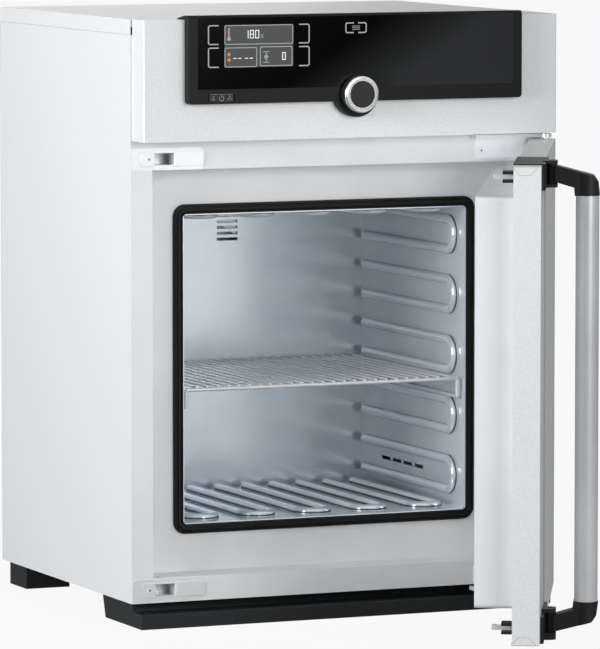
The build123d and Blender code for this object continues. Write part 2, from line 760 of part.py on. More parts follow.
# Control panel
with BuildPart() as control_bezel:
    with BuildSketch(side_plane(-bezel_half)) as profile:
        with BuildLine():
            Polyline((bezel_front, bezel_bottom), (bezel_front, bezel_top - 3), (bezel_front + 3, bezel_top),
                     (-header_proud, bezel_top), (bezel_shelf, case_top + 1.5), (bezel_shelf, case_top),
                     (-header_proud, case_top), (-header_proud, bezel_bottom), (bezel_front, bezel_bottom))
        make_face()
    extrude(profile.sketch, amount=2 * bezel_half)
    low_corners = control_bezel.edges().filter_by(Axis.Y).group_by(Axis.Z)[0]
    fillet(low_corners, radius=bezel_corner)
    with BuildSketch(front_plane(-header_proud)) as boss:
        with Locations((0, boss_z)):
            Circle(boss_radius)
    extrude(boss.sketch, amount=-header_proud - bezel_front)
    with BuildSketch(front_plane(bezel_front)) as pocket:
        span(-glass_half - slip, glass_half + slip, glass_bottom - slip, glass_top + slip)
    extrude(pocket.sketch, amount=-glass_thickness, mode=Mode.SUBTRACT)
    with BuildSketch(front_plane(bezel_front)) as window:
        span(-glass_half + window_rim, glass_half - window_rim, glass_bottom + 2 * window_rim,
             glass_top - window_rim)
    extrude(window.sketch, amount=-(-header_proud - bezel_front), mode=Mode.SUBTRACT)
    with BuildSketch(front_plane(bezel_front)) as pockets:
        with Locations(((key_left + key_right) / 2, (key_bottom + key_top) / 2)):
            RectangleRounded(key_right - key_left + 2 * seat_gap, key_top - key_bottom + 2 * seat_gap, 1.5)
    extrude(pockets.sketch, amount=-key_depth - 1, mode=Mode.SUBTRACT)
    with BuildSketch(front_plane(bezel_front)) as shaft_hole:
        with Locations((0, boss_z)):
            Circle(shaft_radius + joint_play)
        with Locations(((key_left + key_right) / 2, (key_bottom + key_top) / 2)):
            Rectangle(14, 6)
    extrude(shaft_hole.sketch, amount=-(-header_proud - bezel_front), mode=Mode.SUBTRACT)
save(control_bezel.part, "control_bezel")

with BuildPart() as control_glass:
    with BuildSketch(front_plane(bezel_front + glass_thickness)) as pane:
        span(-glass_half, glass_half, glass_bottom, glass_top)
        with Locations((0, boss_z)):
            Circle(knob_radius + 2, mode=Mode.SUBTRACT)
    extrude(pane.sketch, amount=glass_thickness)
save(control_glass.part, "control_glass")

with BuildPart() as display_module:
    with BuildSketch(front_plane(bezel_front + glass_thickness + slip + 5)) as tray:
        span(display_left, display_right, display_bottom, min(display_top, glass_top - window_rim - slip))
    extrude(tray.sketch, amount=5)
save(display_module.part, "display_module")

board_front = -header_proud + sheet + 4
with BuildPart() as control_board:
    with BuildSketch(front_plane(board_front + 1.6)) as board:
        span(-190, 190, 698, 776)
        with Locations((0, boss_z)):
            Circle(14, mode=Mode.SUBTRACT)
        with Locations(((key_left + key_right) / 2, (key_bottom + key_top) / 2)):
            Rectangle(30, 30, mode=Mode.SUBTRACT)
    extrude(board.sketch, amount=1.6)
    with BuildSketch(front_plane(board_front)) as posts:
        with Locations((-185, 700), (185, 700), (-60, 700), (60, 700)):
            Circle(3)
    extrude(posts.sketch, amount=4)
save(control_board.part, "control_board")

# Knob: encoder in the header, shaft that can be pressed, and the ring and cap that turn on it
encoder_front = -header_proud + sheet
with BuildPart() as knob_encoder:
    with BuildSketch(front_plane(encoder_front + 12)) as body:
        with Locations((0, boss_z)):
            RectangleRounded(22, 22, 2)
    extrude(body.sketch, amount=12)
    with BuildSketch(front_plane(encoder_front + 10)) as bore:
        with Locations((0, boss_z)):
            Circle(shaft_radius + joint_play)
    extrude(bore.sketch, amount=10, mode=Mode.SUBTRACT)
save(knob_encoder.part, "knob_encoder")

with BuildPart() as knob_shaft:
    with BuildSketch(front_plane(encoder_front + 10 - push_travel - seat_gap)) as rod:
        with Locations((0, boss_z)):
            Circle(shaft_radius)
    extrude(rod.sketch, amount=encoder_front + 10 - push_travel - seat_gap - knob_front - 5)
save(knob_shaft.part, "knob_shaft")

with BuildPart() as knob_ring:
    with BuildSketch(front_plane(knob_back)) as rim:
        with Locations((0, boss_z)):
            Circle(knob_radius)
    extrude(rim.sketch, amount=knob_back - knob_front - 1)
    front_edge = knob_ring.faces().sort_by(Axis.Y)[0].edges()
    fillet(front_edge, radius=3)
    with BuildSketch(front_plane(knob_front)) as bowl:
        with Locations((0, boss_z)):
            Circle(cap_radius + slip)
    extrude(bowl.sketch, amount=-(knob_back - knob_front - 4), mode=Mode.SUBTRACT)
    with BuildSketch(front_plane(knob_back)) as bore:
        with Locations((0, boss_z)):
            Circle(shaft_radius + joint_play)
    extrude(bore.sketch, amount=5, mode=Mode.SUBTRACT)
save(knob_ring.part, "knob_ring")

with BuildPart() as knob_cap:
    with BuildSketch(front_plane(knob_back - 4)) as face:
        with Locations((0, boss_z)):
            Circle(cap_radius)
    extrude(face.sketch, amount=knob_back - 4 - knob_front)
    fillet(knob_cap.faces().sort_by(Axis.Y)[0].edges(), radius=2)
    with BuildSketch(front_plane(knob_back - 4)) as bore:
        with Locations((0, boss_z)):
            Circle(shaft_radius + joint_play)
    extrude(bore.sketch, amount=knob_back - 4 - knob_front - 4, mode=Mode.SUBTRACT)
save(knob_cap.part, "knob_cap")

with BuildPart() as power_key:
    with BuildSketch(front_plane(bezel_front + key_depth - 1)) as key:
        with Locations(((key_left + key_right) / 2, (key_bottom + key_top) / 2)):
            RectangleRounded(key_right - key_left - 2, key_top - key_bottom, 1.5)
    extrude(key.sketch, amount=key_depth - 1)
    with BuildSketch(front_plane(bezel_front + key_depth + 1 - seat_gap)) as rocker:
        with Locations(((key_left + key_right) / 2, (key_bottom + key_top) / 2)):
            Rectangle(6, 5)
    extrude(rocker.sketch, amount=3)
save(power_key.part, "power_key")

# Shelf: wires along the depth on two cross bars, with low runners that lie on a bead
bead_crown = (bead_width**2 / 4 + bead_rise**2) / (2 * bead_rise)
runner_x = chamber_half - bead_rise / 2 - runner_radius
runner_side = chamber_half - runner_x - (bead_rise - bead_crown)
runner_z = shelf_bead_z + math.sqrt((bead_crown + runner_radius + seat_gap) ** 2 - runner_side**2)
with BuildPart() as grid_shelf:
    for y in (shelf_front, shelf_back):
        for x in (-runner_x, runner_x):
            with BuildSketch(Plane.XY.offset(runner_z)) as post:
                with Locations((x, y)):
                    Circle(bar_radius)
            extrude(post.sketch, amount=shelf_z - wire_radius - bar_radius + weld_bite - runner_z)
        with BuildSketch(side_plane(-runner_x)) as bar:
            with Locations((y, shelf_z - wire_radius - bar_radius + weld_bite)):
                Circle(bar_radius)
        extrude(bar.sketch, amount=2 * runner_x)
    for x in (-runner_x, runner_x):
        with BuildSketch(front_plane(shelf_back)) as runner:
            with Locations((x, runner_z)):
                Circle(runner_radius)
        extrude(runner.sketch, amount=shelf_back - shelf_front)
    with BuildSketch(front_plane(shelf_back + bar_radius)) as wires:
        with Locations((0, shelf_z)):
            with GridLocations(wire_pitch, 0, shelf_wires, 1):
                RegularPolygon(wire_radius, 6)
    extrude(wires.sketch, amount=shelf_back - shelf_front + 2 * bar_radius)
save(grid_shelf.part, "grid_shelf")

# Door casing: folded tray with openings for the bushes and the latches
with BuildPart() as door_casing:
    slab(-door_half, door_half, door_outer, door_inner - door_sheet, door_bottom, door_top, level=door_level)
    slab(-door_half + door_sheet, door_half - door_sheet, door_outer + door_sheet, door_inner,
         door_bottom + door_sheet, door_top - door_sheet, mode=Mode.SUBTRACT, level=door_level)
    with BuildSketch(door_level(door_bottom - 1)) as bush_holes:
        with Locations((hinge_x, hinge_y)):
            Circle(hinge_pin_radius + bush_wall)
    extrude(bush_holes.sketch, amount=door_top - door_bottom + 2, mode=Mode.SUBTRACT)
    for z in (latch_top_z, latch_bottom_z):
        slab(-214, -196, door_outer, door_outer + door_sheet, z - 5, z + 5, mode=Mode.SUBTRACT,
             level=door_level)
save(door_casing.part, "door_casing")

# Inner pan: flat border with the plug standing out of it
with BuildPart() as door_inner_pan:
    slab(-door_half, door_half, door_inner - door_sheet, door_inner, door_bottom, door_top, level=door_level)
    mid_z = (plug_bottom + plug_top) / 2
    plug_place = door_plane((0, door_inner, mid_z), (1, 0, 0), (0, 1, 0))
    plug_size = (2 * plug_half, plug_top - plug_bottom)
    with BuildSketch(plug_place) as root:
        RectangleRounded(*plug_size, plug_corner)
    extrude(root.sketch, amount=plug_reach - door_inner)
    with BuildSketch(plug_place.offset(-door_sheet)) as hollow:
        RectangleRounded(plug_size[0] - 2 * door_sheet, plug_size[1] - 2 * door_sheet,
                         plug_corner - door_sheet)
    extrude(hollow.sketch, amount=plug_reach - door_inner, mode=Mode.SUBTRACT)
    for z in (latch_top_z, latch_bottom_z):
        slab(slot_left + 2, slot_right - 1, door_inner - door_sheet, door_inner, z - slot_height / 2 + 0.3,
             z + slot_height / 2 - 0.3, mode=Mode.SUBTRACT, level=door_level)
save(door_inner_pan.part, "door_inner_pan")

# Door wadding between the two latch corners, stepped into the plug
latch_room = 48.0
with BuildPart() as door_insulation:
    slab(-door_half + 2 * door_sheet, door_half - 2 * door_sheet, door_outer + door_sheet + slip,
         door_inner - door_sheet - slip, door_bottom + latch_room, door_top - latch_room, level=door_level)
    slab(-plug_half + 2 * door_sheet, plug_half - 2 * door_sheet, door_inner - door_sheet - slip - 1,
         plug_reach - door_sheet - slip, plug_bottom + 2 * door_sheet + latch_room / 4,
         plug_top - 2 * door_sheet - latch_room / 4, level=door_level)
save(door_insulation.part, "door_insulation")

with BuildPart() as door_hinge_bushes:
    for z in (door_bottom, door_top - bush_length):
        with BuildSketch(door_level(z)) as ring:
            with Locations((hinge_x, hinge_y)):
                Circle(hinge_pin_radius + bush_wall)
                Circle(hinge_pin_radius + joint_play, mode=Mode.SUBTRACT)
        extrude(ring.sketch, amount=bush_length)
save(door_hinge_bushes.part, "door_hinge_bushes")


# Latch covers: saddles on the door's free corners, with two ears that hold the handle's pin
def latch_cover(end, up, ears, name):
    """Cover on the end of the door at z = end, where `up` points out of the door."""
    inner = end - up * cover_drop
    with BuildPart() as cover:
        with BuildSketch(door_side(cover_left)) as saddle:
            span(door_outer - cover_front, door_outer, min(inner, end + up * cover_cap),
                 max(inner, end + up * cover_cap))
            span(door_outer - cover_front, -1, min(end, end + up * cover_cap), max(end, end + up * cover_cap))
        extrude(saddle.sketch, amount=cover_right - cover_left)
        slab(grip_x - arm_width / 2, grip_x + arm_width / 2, door_outer - cover_front, door_outer,
             ears[0][0], ears[1][1], level=door_level)
        for low, high in ears:
            with BuildSketch(door_level(low)) as ear:
                with BuildLine():
                    Polyline((grip_x - arm_width / 2, door_outer - cover_front),
                             (grip_x - arm_width / 2, pivot_y),
                             (grip_x - arm_width / 3, pivot_y - barrel_radius),
                             (grip_x + arm_width / 3, pivot_y - barrel_radius),
                             (grip_x + arm_width / 2, pivot_y),
                             (grip_x + arm_width / 2, door_outer - cover_front),
                             (grip_x - arm_width / 2, door_outer - cover_front))
                make_face()
            extrude(ear.sketch, amount=high - low)
            with BuildSketch(door_level(low)) as pin_bore:
                with Locations((grip_x, pivot_y)):
                    Circle(handle_pin_radius)
            extrude(pin_bore.sketch, amount=high - low, mode=Mode.SUBTRACT)
    save(cover.part, name)


arm_mid_z = (grip_bottom + grip_top) / 2
barrel_low_z = 2 * arm_mid_z - barrel_top_z
barrel_half = barrel_height / 2
latch_cover(door_top, 1, ((ear_low_top, barrel_top_z - barrel_half - seat_gap),
                          (barrel_top_z + barrel_half + seat_gap, ear_top)), "latch_cover_top")
latch_cover(door_bottom, -1, ((ear_bottom, barrel_low_z - barrel_half - seat_gap),
                              (barrel_low_z + barrel_half + seat_gap, ear_high_bottom)), "latch_cover_bottom")


# Latch blocks: guides in the door's corners, with two prongs that follow the hook into the strike
def latch_block(z, end):
    """Guide block for the hook at level z, filling the corner of the door up to its end sheet."""
    low = min(z - 13.5, end)
    high = max(z + 13.5, end)
    slab(-275, -222, door_outer + door_sheet, door_inner - door_sheet, low, high, level=door_level)
    guide_low = z - slot_height / 2 + 0.6
    guide_high = z + slot_height / 2 - 0.6
    slab(slot_left + 3, slot_right - 2, door_inner - door_sheet, guide_reach, guide_low, guide_high,
         level=door_level)
    track = hook_height / 2 + seat_gap
    slab(-266, -226, door_outer + door_sheet + 3, guide_reach + 1, z - track, z + track,
         mode=Mode.SUBTRACT, level=door_level)
    with BuildSketch(door_level(low)) as pin_bore:
        with Locations((hook_pivot_x, hook_pivot_y)):
            Circle(hook_pin_radius)
    extrude(pin_bore.sketch, amount=high - low, mode=Mode.SUBTRACT)


with BuildPart() as latch_blocks:
    latch_block(latch_top_z, door_top - door_sheet)
    latch_block(latch_bottom_z, door_bottom + door_sheet)
save(latch_blocks.part, "latch_blocks")

with BuildPart() as latch_pins:
    for z in (latch_top_z, latch_bottom_z):
        with BuildSketch(door_level(z - 12)) as pin:
            with Locations((hook_pivot_x, hook_pivot_y)):
                Circle(hook_pin_radius)
        extrude(pin.sketch, amount=24)
    for z in (barrel_top_z, barrel_low_z):
        with BuildSketch(door_level(z - barrel_half - 4)) as pin:
            with Locations((grip_x, pivot_y)):
                Circle(handle_pin_radius)
        extrude(pin.sketch, amount=barrel_height + 8)
save(latch_pins.part, "latch_pins")


def latch_hook(z, name):
    """Flat hook: eye on the pin, shank out of the door and a nose that catches behind the strike."""
    left = hook_pivot_x + 1 - hook_thickness
    right = hook_pivot_x + 1
    with BuildPart() as hook:
        with BuildSketch(door_level(z - hook_height / 2)) as plan:
            with Locations((hook_pivot_x, hook_pivot_y)):
                Circle(hook_eye_radius)
            span(left, right, hook_pivot_y, hook_reach)
            with BuildLine():
                Polyline((right, hook_reach), (right, hook_reach - hook_nose_depth),
                         (right + hook_nose, hook_reach - hook_nose_depth), (right + 1, hook_reach),
                         (right, hook_reach))
            make_face()
            with Locations((hook_pivot_x, hook_pivot_y)):
                Circle(hook_pin_radius + joint_play, mode=Mode.SUBTRACT)
        extrude(plan.sketch, amount=hook_height)
    save(hook.part, name)


latch_hook(latch_top_z, "latch_hook_top")
latch_hook(latch_bottom_z, "latch_hook_bottom")

# Handle: tube between two moulded arms
with BuildPart() as handle_tube:
    with BuildSketch(door_level(grip_bottom - socket_depth)) as ring:
        with Locations((grip_x, grip_y)):
            Circle(grip_radius)
            Circle(grip_radius - grip_wall, mode=Mode.SUBTRACT)
    extrude(ring.sketch, amount=grip_top - grip_bottom + 2 * socket_depth)
save(handle_tube.part, "handle_tube")

collar_radius = 15.4
with BuildPart() as handle_arm_top:
    with BuildSketch(door_side(grip_x - 20)) as profile:
        with BuildLine():
            Polyline((pivot_y, 617), (-52, 617), (-98, 605), (-103.5, 597), (-105.7, grip_top),
                     (-74.9, grip_top), (-74, 590), (-52, 596.5), (pivot_y, 596.5), (pivot_y, 617))
        make_face()
    extrude(profile.sketch, amount=40)
    bends = handle_arm_top.edges().filter_by(lambda e: abs(e.length - 40) < 0.01)
    upper_bend = bends.sort_by(lambda e: e.center().Z)[-3]
    fillet(upper_bend, radius=5)
    with BuildSketch(door_level(ear_low_top - 20)) as plan:
        span(grip_x - arm_width / 2, grip_x + arm_width / 2, grip_y, pivot_y - 4)
        span(grip_x - barrel_radius, grip_x + barrel_radius, pivot_y - 5, pivot_y)
        with Locations((grip_x, grip_y)):
            Circle(collar_radius)
    extrude(plan.sketch, amount=60, mode=Mode.INTERSECT)
    with BuildSketch(door_level(barrel_top_z - barrel_half)) as barrel:
        with Locations((grip_x, pivot_y)):
            Circle(barrel_radius)
    extrude(barrel.sketch, amount=barrel_height)
    with BuildSketch(door_level(barrel_top_z - barrel_half)) as pin_bore:
        with Locations((grip_x, pivot_y)):
            Circle(handle_pin_radius + joint_play)
    extrude(pin_bore.sketch, amount=barrel_height, mode=Mode.SUBTRACT)
    with BuildSketch(door_level(grip_top)) as socket:
        with Locations((grip_x, grip_y)):
            Circle(grip_radius)
    extrude(socket.sketch, amount=socket_depth, mode=Mode.SUBTRACT)
save(handle_arm_top.part, "handle_arm_top")

with BuildPart() as handle_arm_bottom:
    add(mirror(handle_arm_top.part, about=Plane.XY.offset(arm_mid_z), mode=Mode.PRIVATE))
save(handle_arm_bottom.part, "handle_arm_bottom")
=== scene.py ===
"""Looks of the laboratory oven: finishes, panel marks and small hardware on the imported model.

Blender works in metres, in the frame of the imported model: x to the right, y to the back, z up from the
floor. Sizes and places on the oven are written in millimetres and turned into metres where a mesh or a
texture is made.
"""
from __future__ import annotations

import json
import logging
import math
from dataclasses import dataclass
from enum import Enum

import bmesh
import bpy
from mathutils import Matrix, Vector


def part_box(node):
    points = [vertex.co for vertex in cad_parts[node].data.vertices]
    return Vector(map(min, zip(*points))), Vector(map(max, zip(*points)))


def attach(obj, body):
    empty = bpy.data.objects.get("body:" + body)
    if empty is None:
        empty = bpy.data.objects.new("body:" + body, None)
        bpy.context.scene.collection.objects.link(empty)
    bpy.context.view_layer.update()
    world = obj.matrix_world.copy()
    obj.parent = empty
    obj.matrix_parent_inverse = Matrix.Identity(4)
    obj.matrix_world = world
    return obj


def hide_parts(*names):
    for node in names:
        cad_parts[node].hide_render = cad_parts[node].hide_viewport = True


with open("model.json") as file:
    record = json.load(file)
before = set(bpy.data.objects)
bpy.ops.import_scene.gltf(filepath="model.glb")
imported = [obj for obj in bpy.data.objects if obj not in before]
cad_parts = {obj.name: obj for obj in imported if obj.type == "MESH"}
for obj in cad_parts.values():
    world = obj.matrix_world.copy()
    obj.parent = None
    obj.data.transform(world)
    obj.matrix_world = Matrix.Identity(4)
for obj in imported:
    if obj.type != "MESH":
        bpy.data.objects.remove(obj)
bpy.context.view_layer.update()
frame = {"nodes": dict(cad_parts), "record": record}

logging.basicConfig(level=logging.INFO, format="%(name)s: %(message)s")
log = logging.getLogger("oven")

# One millimetre in metres
MM = 0.001
# Angle in radians that Blender's wave texture turns through over one metre at a scale of 1
WAVE_TURN = 20
Outline = list[tuple[float, float]]
Stops = tuple[tuple[float, str], ...]


def srgb(code: str) -> tuple[float, float, float, float]:
    """Linear colour of a screen colour.

    Args:
        code: Six hexadecimal digits.

    Returns:
        Red, green, blue and alpha, linear.
    """
    channels = [int(code[i:i + 2], 16) / 255 for i in (0, 2, 4)]
    linear = [c / 12.92 if c <= 0.04045 else ((c + 0.055) / 1.055) ** 2.4 for c in channels]
    return (*linear, 1.0)


def add_node(tree: bpy.types.NodeTree, kind: str, settings: dict | None = None, values: dict | None = None,
             links: dict | None = None, stops: Stops = ()) -> bpy.types.Node:
    """Adds one shader node.

    Args:
        tree: The node tree that takes the node.
        kind: Blender's node type.
        settings: Properties of the node, by name.
        values: Input values, by socket name or number.
        links: Sockets to connect to its inputs, by socket name or number.
        stops: Places and screen colours of its colour ramp, lowest first.

    Returns:
        The new node.
    """
    node = tree.nodes.new(kind)
    for name, value in (settings or {}).items():
        setattr(node, name, value)
    for name, value in (values or {}).items():
        node.inputs[name].default_value = value
    for name, socket in (links or {}).items():
        tree.links.new(socket, node.inputs[name])
    elements = node.color_ramp.elements if stops else ()
    while len(elements) < len(stops):
        elements.new(1.0)
    for element, (place, code) in zip(elements, stops):
        element.position = place
        element.color = srgb(code)
    return node


def new_material(name: str) -> tuple[bpy.types.Material, bpy.types.NodeTree, bpy.types.Node]:
    """Makes a material with one Principled shader.

    Args:
        name: The real material's name.

    Returns:
        The material, its node tree and the shader node.
    """
    material = bpy.data.materials.new(name)
    material.use_nodes = True
    tree = material.node_tree
    return material, tree, tree.nodes["Principled BSDF"]


@dataclass(frozen=True)
class LinenSheet:
    """Rolled sheet with a linen emboss: two crossing rows of dimples that break up its reflections.

    Attributes:
        name: The real material.
        light: Screen colour of its paler patches.
        dark: Screen colour of its darker patches.
        metallic: Share of metal reflection.
        roughness: Gloss, 0 to 1.
        pitch_mm: Pitch of the dimples.
        depth: Strength of the relief.
        turn: Turn of the rows out of the axes in radians, so that they show on every face.
        wander: How far a row wanders off a straight line.
        cloud_mm: Size of the patches between the dimples.
        tint_range: Part of the patches' pattern over which dark turns to light.
        relief_mm: Height of the relief.
    """
    name: str
    light: str
    dark: str
    metallic: float
    roughness: float
    pitch_mm: float
    depth: float
    turn: float = 0.78
    wander: float = 0.6
    cloud_mm: float = 2.2
    tint_range: tuple[float, float] = (0.3, 0.62)
    relief_mm: float = 0.12

    def material(self) -> bpy.types.Material:
        """Makes the material.

        Returns:
            The material.
        """
        material, tree, shader = new_material(self.name)
        place = add_node(tree, "ShaderNodeTexCoord").outputs["Object"]
        scale = math.tau / (self.pitch_mm * MM) / WAVE_TURN
        rows = []
        for slant in (self.turn, -self.turn):
            mapping = add_node(tree, "ShaderNodeMapping", values={"Rotation": (slant, self.turn, 0.0)},
                               links={"Vector": place})
            wave = add_node(tree, "ShaderNodeTexWave", {"bands_direction": "X"},
                            {"Scale": scale, "Distortion": self.wander, "Detail": 0.0},
                            {"Vector": mapping.outputs["Vector"]})
            rows.append(wave.outputs["Fac"])
        dimples = add_node(tree, "ShaderNodeMath", {"operation": "MULTIPLY"},
                           links={0: rows[0], 1: rows[1]})
        cloud = add_node(tree, "ShaderNodeTexNoise",
                         values={"Scale": 1 / (self.cloud_mm * MM), "Detail": 3.0}, links={"Vector": place})
        relief = add_node(tree, "ShaderNodeMath", {"operation": "ADD"},
                          links={0: dimples.outputs[0], 1: cloud.outputs["Fac"]})
        bump = add_node(tree, "ShaderNodeBump",
                        values={"Strength": self.depth, "Distance": self.relief_mm * MM},
                        links={"Height": relief.outputs[0]})
        tint = add_node(tree, "ShaderNodeValToRGB", links={"Fac": cloud.outputs["Fac"]},
                        stops=tuple(zip(self.tint_range, (self.dark, self.light))))
        tree.links.new(tint.outputs["Color"], shader.inputs["Base Color"])
        tree.links.new(bump.outputs["Normal"], shader.inputs["Normal"])
        shader.inputs["Metallic"].default_value = self.metallic
        shader.inputs["Roughness"].default_value = self.roughness
        return material


@dataclass(frozen=True)
class BrushedSheet:
    """Ground or drawn metal: long fine lines along one direction that stretch each highlight.

    Attributes:
        name: The real material.
        light: Screen colour of the palest lines and patches.
        dark: Screen colour of the darkest ones.
        metallic: Share of metal reflection.
        roughness: Gloss, 0 to 1.
        pitch_mm: Pitch of the lines.
        depth: Strength of the relief.
        stretch: Scale of the lines along x, y and z.
        anisotropy: Spread of the highlight across the lines.
        cloud_mm: Size of the faint patches left by rolling.
        line_share: Weight of the lines in the tint, beside the patches.
        tint_range: Part of that sum over which dark turns to light.
        relief_mm: Height of the relief.
    """
    name: str
    light: str
    dark: str
    metallic: float
    roughness: float
    pitch_mm: float
    depth: float
    stretch: tuple[float, float, float]
    anisotropy: float = 0.0
    cloud_mm: float = 90.0
    line_share: float = 0.6
    tint_range: tuple[float, float] = (0.55, 1.0)
    relief_mm: float = 0.05

    def material(self) -> bpy.types.Material:
        """Makes the material.

        Returns:
            The material.
        """
        material, tree, shader = new_material(self.name)
        place = add_node(tree, "ShaderNodeTexCoord").outputs["Object"]
        mapping = add_node(tree, "ShaderNodeMapping", values={"Scale": self.stretch},
                           links={"Vector": place})
        lines = add_node(tree, "ShaderNodeTexNoise",
                         values={"Scale": 1 / (self.pitch_mm * MM), "Detail": 4.0},
                         links={"Vector": mapping.outputs["Vector"]})
        cloud = add_node(tree, "ShaderNodeTexNoise",
                         values={"Scale": 1 / (self.cloud_mm * MM), "Detail": 2.0}, links={"Vector": place})
        blend = add_node(tree, "ShaderNodeMath", {"operation": "MULTIPLY_ADD"}, {1: self.line_share},
                         {0: lines.outputs["Fac"], 2: cloud.outputs["Fac"]})
        tint = add_node(tree, "ShaderNodeValToRGB", links={"Fac": blend.outputs[0]},
                        stops=tuple(zip(self.tint_range, (self.dark, self.light))))
        bump = add_node(tree, "ShaderNodeBump",
                        values={"Strength": self.depth, "Distance": self.relief_mm * MM},
                        links={"Height": lines.outputs["Fac"]})
        tree.links.new(tint.outputs["Color"], shader.inputs["Base Color"])
        tree.links.new(bump.outputs["Normal"], shader.inputs["Normal"])
        shader.inputs["Metallic"].default_value = self.metallic
        shader.inputs["Roughness"].default_value = self.roughness
        shader.inputs["Anisotropic"].default_value = self.anisotropy
        return material


@dataclass(frozen=True)
class BeadedSheet:
    """Liner wall with pressed beads: satin sheet with painted shade on a bead's foot and flank, polished on
    its crown.

    Attributes:
        name: The real material.
        sheet: Finish of the flat sheet between the beads.
        axis: Axis square to the wall, X for the sides and Z for floor and ceiling.
        middle_mm: Middle of the chamber along that axis.
        wall_mm: Distance of the wall from the middle.
        bead_mm: Height of a bead.
        bead_shade_tones: Painted shade over that height, from the wall to the crown, that multiplies the
            sheet's colour: dark on a bead's foot and flank, none on the crown.
        polished_from: Shares of that height where the gloss starts to change and where it is the crown's.
        crown_roughness: Gloss of the crown.
    """
    name: str
    sheet: BrushedSheet
    axis: str
    middle_mm: float
    wall_mm: float = 200.0
    bead_mm: float = 7.5
    bead_shade_tones: Stops = ((0.0, "ffffff"), (0.03, "ffffff"), (0.08, "3f474e"), (0.3, "59626a"), (0.5, "e4eaee"),
                    (0.64, "ffffff"))
    polished_from: tuple[float, float] = (0.05, 0.4)
    crown_roughness: float = 0.13

    def material(self) -> bpy.types.Material:
        """Makes the material.

        Returns:
            The material.
        """
        material = self.sheet.material()
        material.name = self.name
        tree = material.node_tree
        shader = tree.nodes["Principled BSDF"]
        place = add_node(tree, "ShaderNodeTexCoord").outputs["Object"]
        parts = add_node(tree, "ShaderNodeSeparateXYZ", links={"Vector": place})
        offset = add_node(tree, "ShaderNodeMath", {"operation": "SUBTRACT"}, {1: self.middle_mm * MM},
                          {0: parts.outputs[self.axis]})
        far = add_node(tree, "ShaderNodeMath", {"operation": "ABSOLUTE"}, links={0: offset.outputs[0]})
        crown_at = (self.wall_mm - self.bead_mm) * MM
        rise = add_node(tree, "ShaderNodeMapRange",
                        values={"From Min": self.wall_mm * MM, "From Max": crown_at},
                        links={"Value": far.outputs[0]})
        # Painted shade: darkens a bead's foot and flank by their height alone, whatever the light
        bead_shade = add_node(tree, "ShaderNodeValToRGB", links={"Fac": rise.outputs["Result"]},
                        stops=self.bead_shade_tones)
        sheet_tint = shader.inputs["Base Color"].links[0].from_socket
        blend = add_node(tree, "ShaderNodeMix", {"data_type": "RGBA", "blend_type": "MULTIPLY"},
                         {"Factor": 1.0})
        first, second = [socket for socket in blend.inputs if socket.type == "RGBA"]
        result = next(socket for socket in blend.outputs if socket.type == "RGBA")
        tree.links.new(sheet_tint, first)
        tree.links.new(bead_shade.outputs["Color"], second)
        tree.links.new(result, shader.inputs["Base Color"])
        foot, crown = self.polished_from
        gloss = add_node(tree, "ShaderNodeMapRange",
                         values={"From Min": foot, "From Max": crown, "To Min": self.sheet.roughness,
                                 "To Max": self.crown_roughness},
                         links={"Value": rise.outputs["Result"]})
        tree.links.new(gloss.outputs["Result"], shader.inputs["Roughness"])
        return material


@dataclass(frozen=True)
class Moulded:
    """Moulded plastic, cured rubber or matted fibre: one colour under a fine pebble grain.

    Attributes:
        name: The real material.
        light: Screen colour of the high spots.
        dark: Screen colour of the hollows.
        roughness: Gloss, 0 to 1.
        grain_mm: Size of the grain.
        depth: Strength of the grain.
        specular: Strength of the surface reflection.
        tint_range: Part of the grain's pattern over which dark turns to light.
        relief_mm: Height of the grain.
    """
    name: str
    light: str
    dark: str
    roughness: float
    grain_mm: float
    depth: float
    specular: float = 0.4
    tint_range: tuple[float, float] = (0.35, 0.65)
    relief_mm: float = 0.1

    def material(self) -> bpy.types.Material:
        """Makes the material.

        Returns:
            The material.
        """
        material, tree, shader = new_material(self.name)
        place = add_node(tree, "ShaderNodeTexCoord").outputs["Object"]
        grain = add_node(tree, "ShaderNodeTexNoise",
                         values={"Scale": 1 / (self.grain_mm * MM), "Detail": 5.0}, links={"Vector": place})
        tint = add_node(tree, "ShaderNodeValToRGB", links={"Fac": grain.outputs["Fac"]},
                        stops=tuple(zip(self.tint_range, (self.dark, self.light))))
        bump = add_node(tree, "ShaderNodeBump",
                        values={"Strength": self.depth, "Distance": self.relief_mm * MM},
                        links={"Height": grain.outputs["Fac"]})
        tree.links.new(tint.outputs["Color"], shader.inputs["Base Color"])
        tree.links.new(bump.outputs["Normal"], shader.inputs["Normal"])
        shader.inputs["Roughness"].default_value = self.roughness
        shader.inputs["Specular IOR Level"].default_value = self.specular
        return material


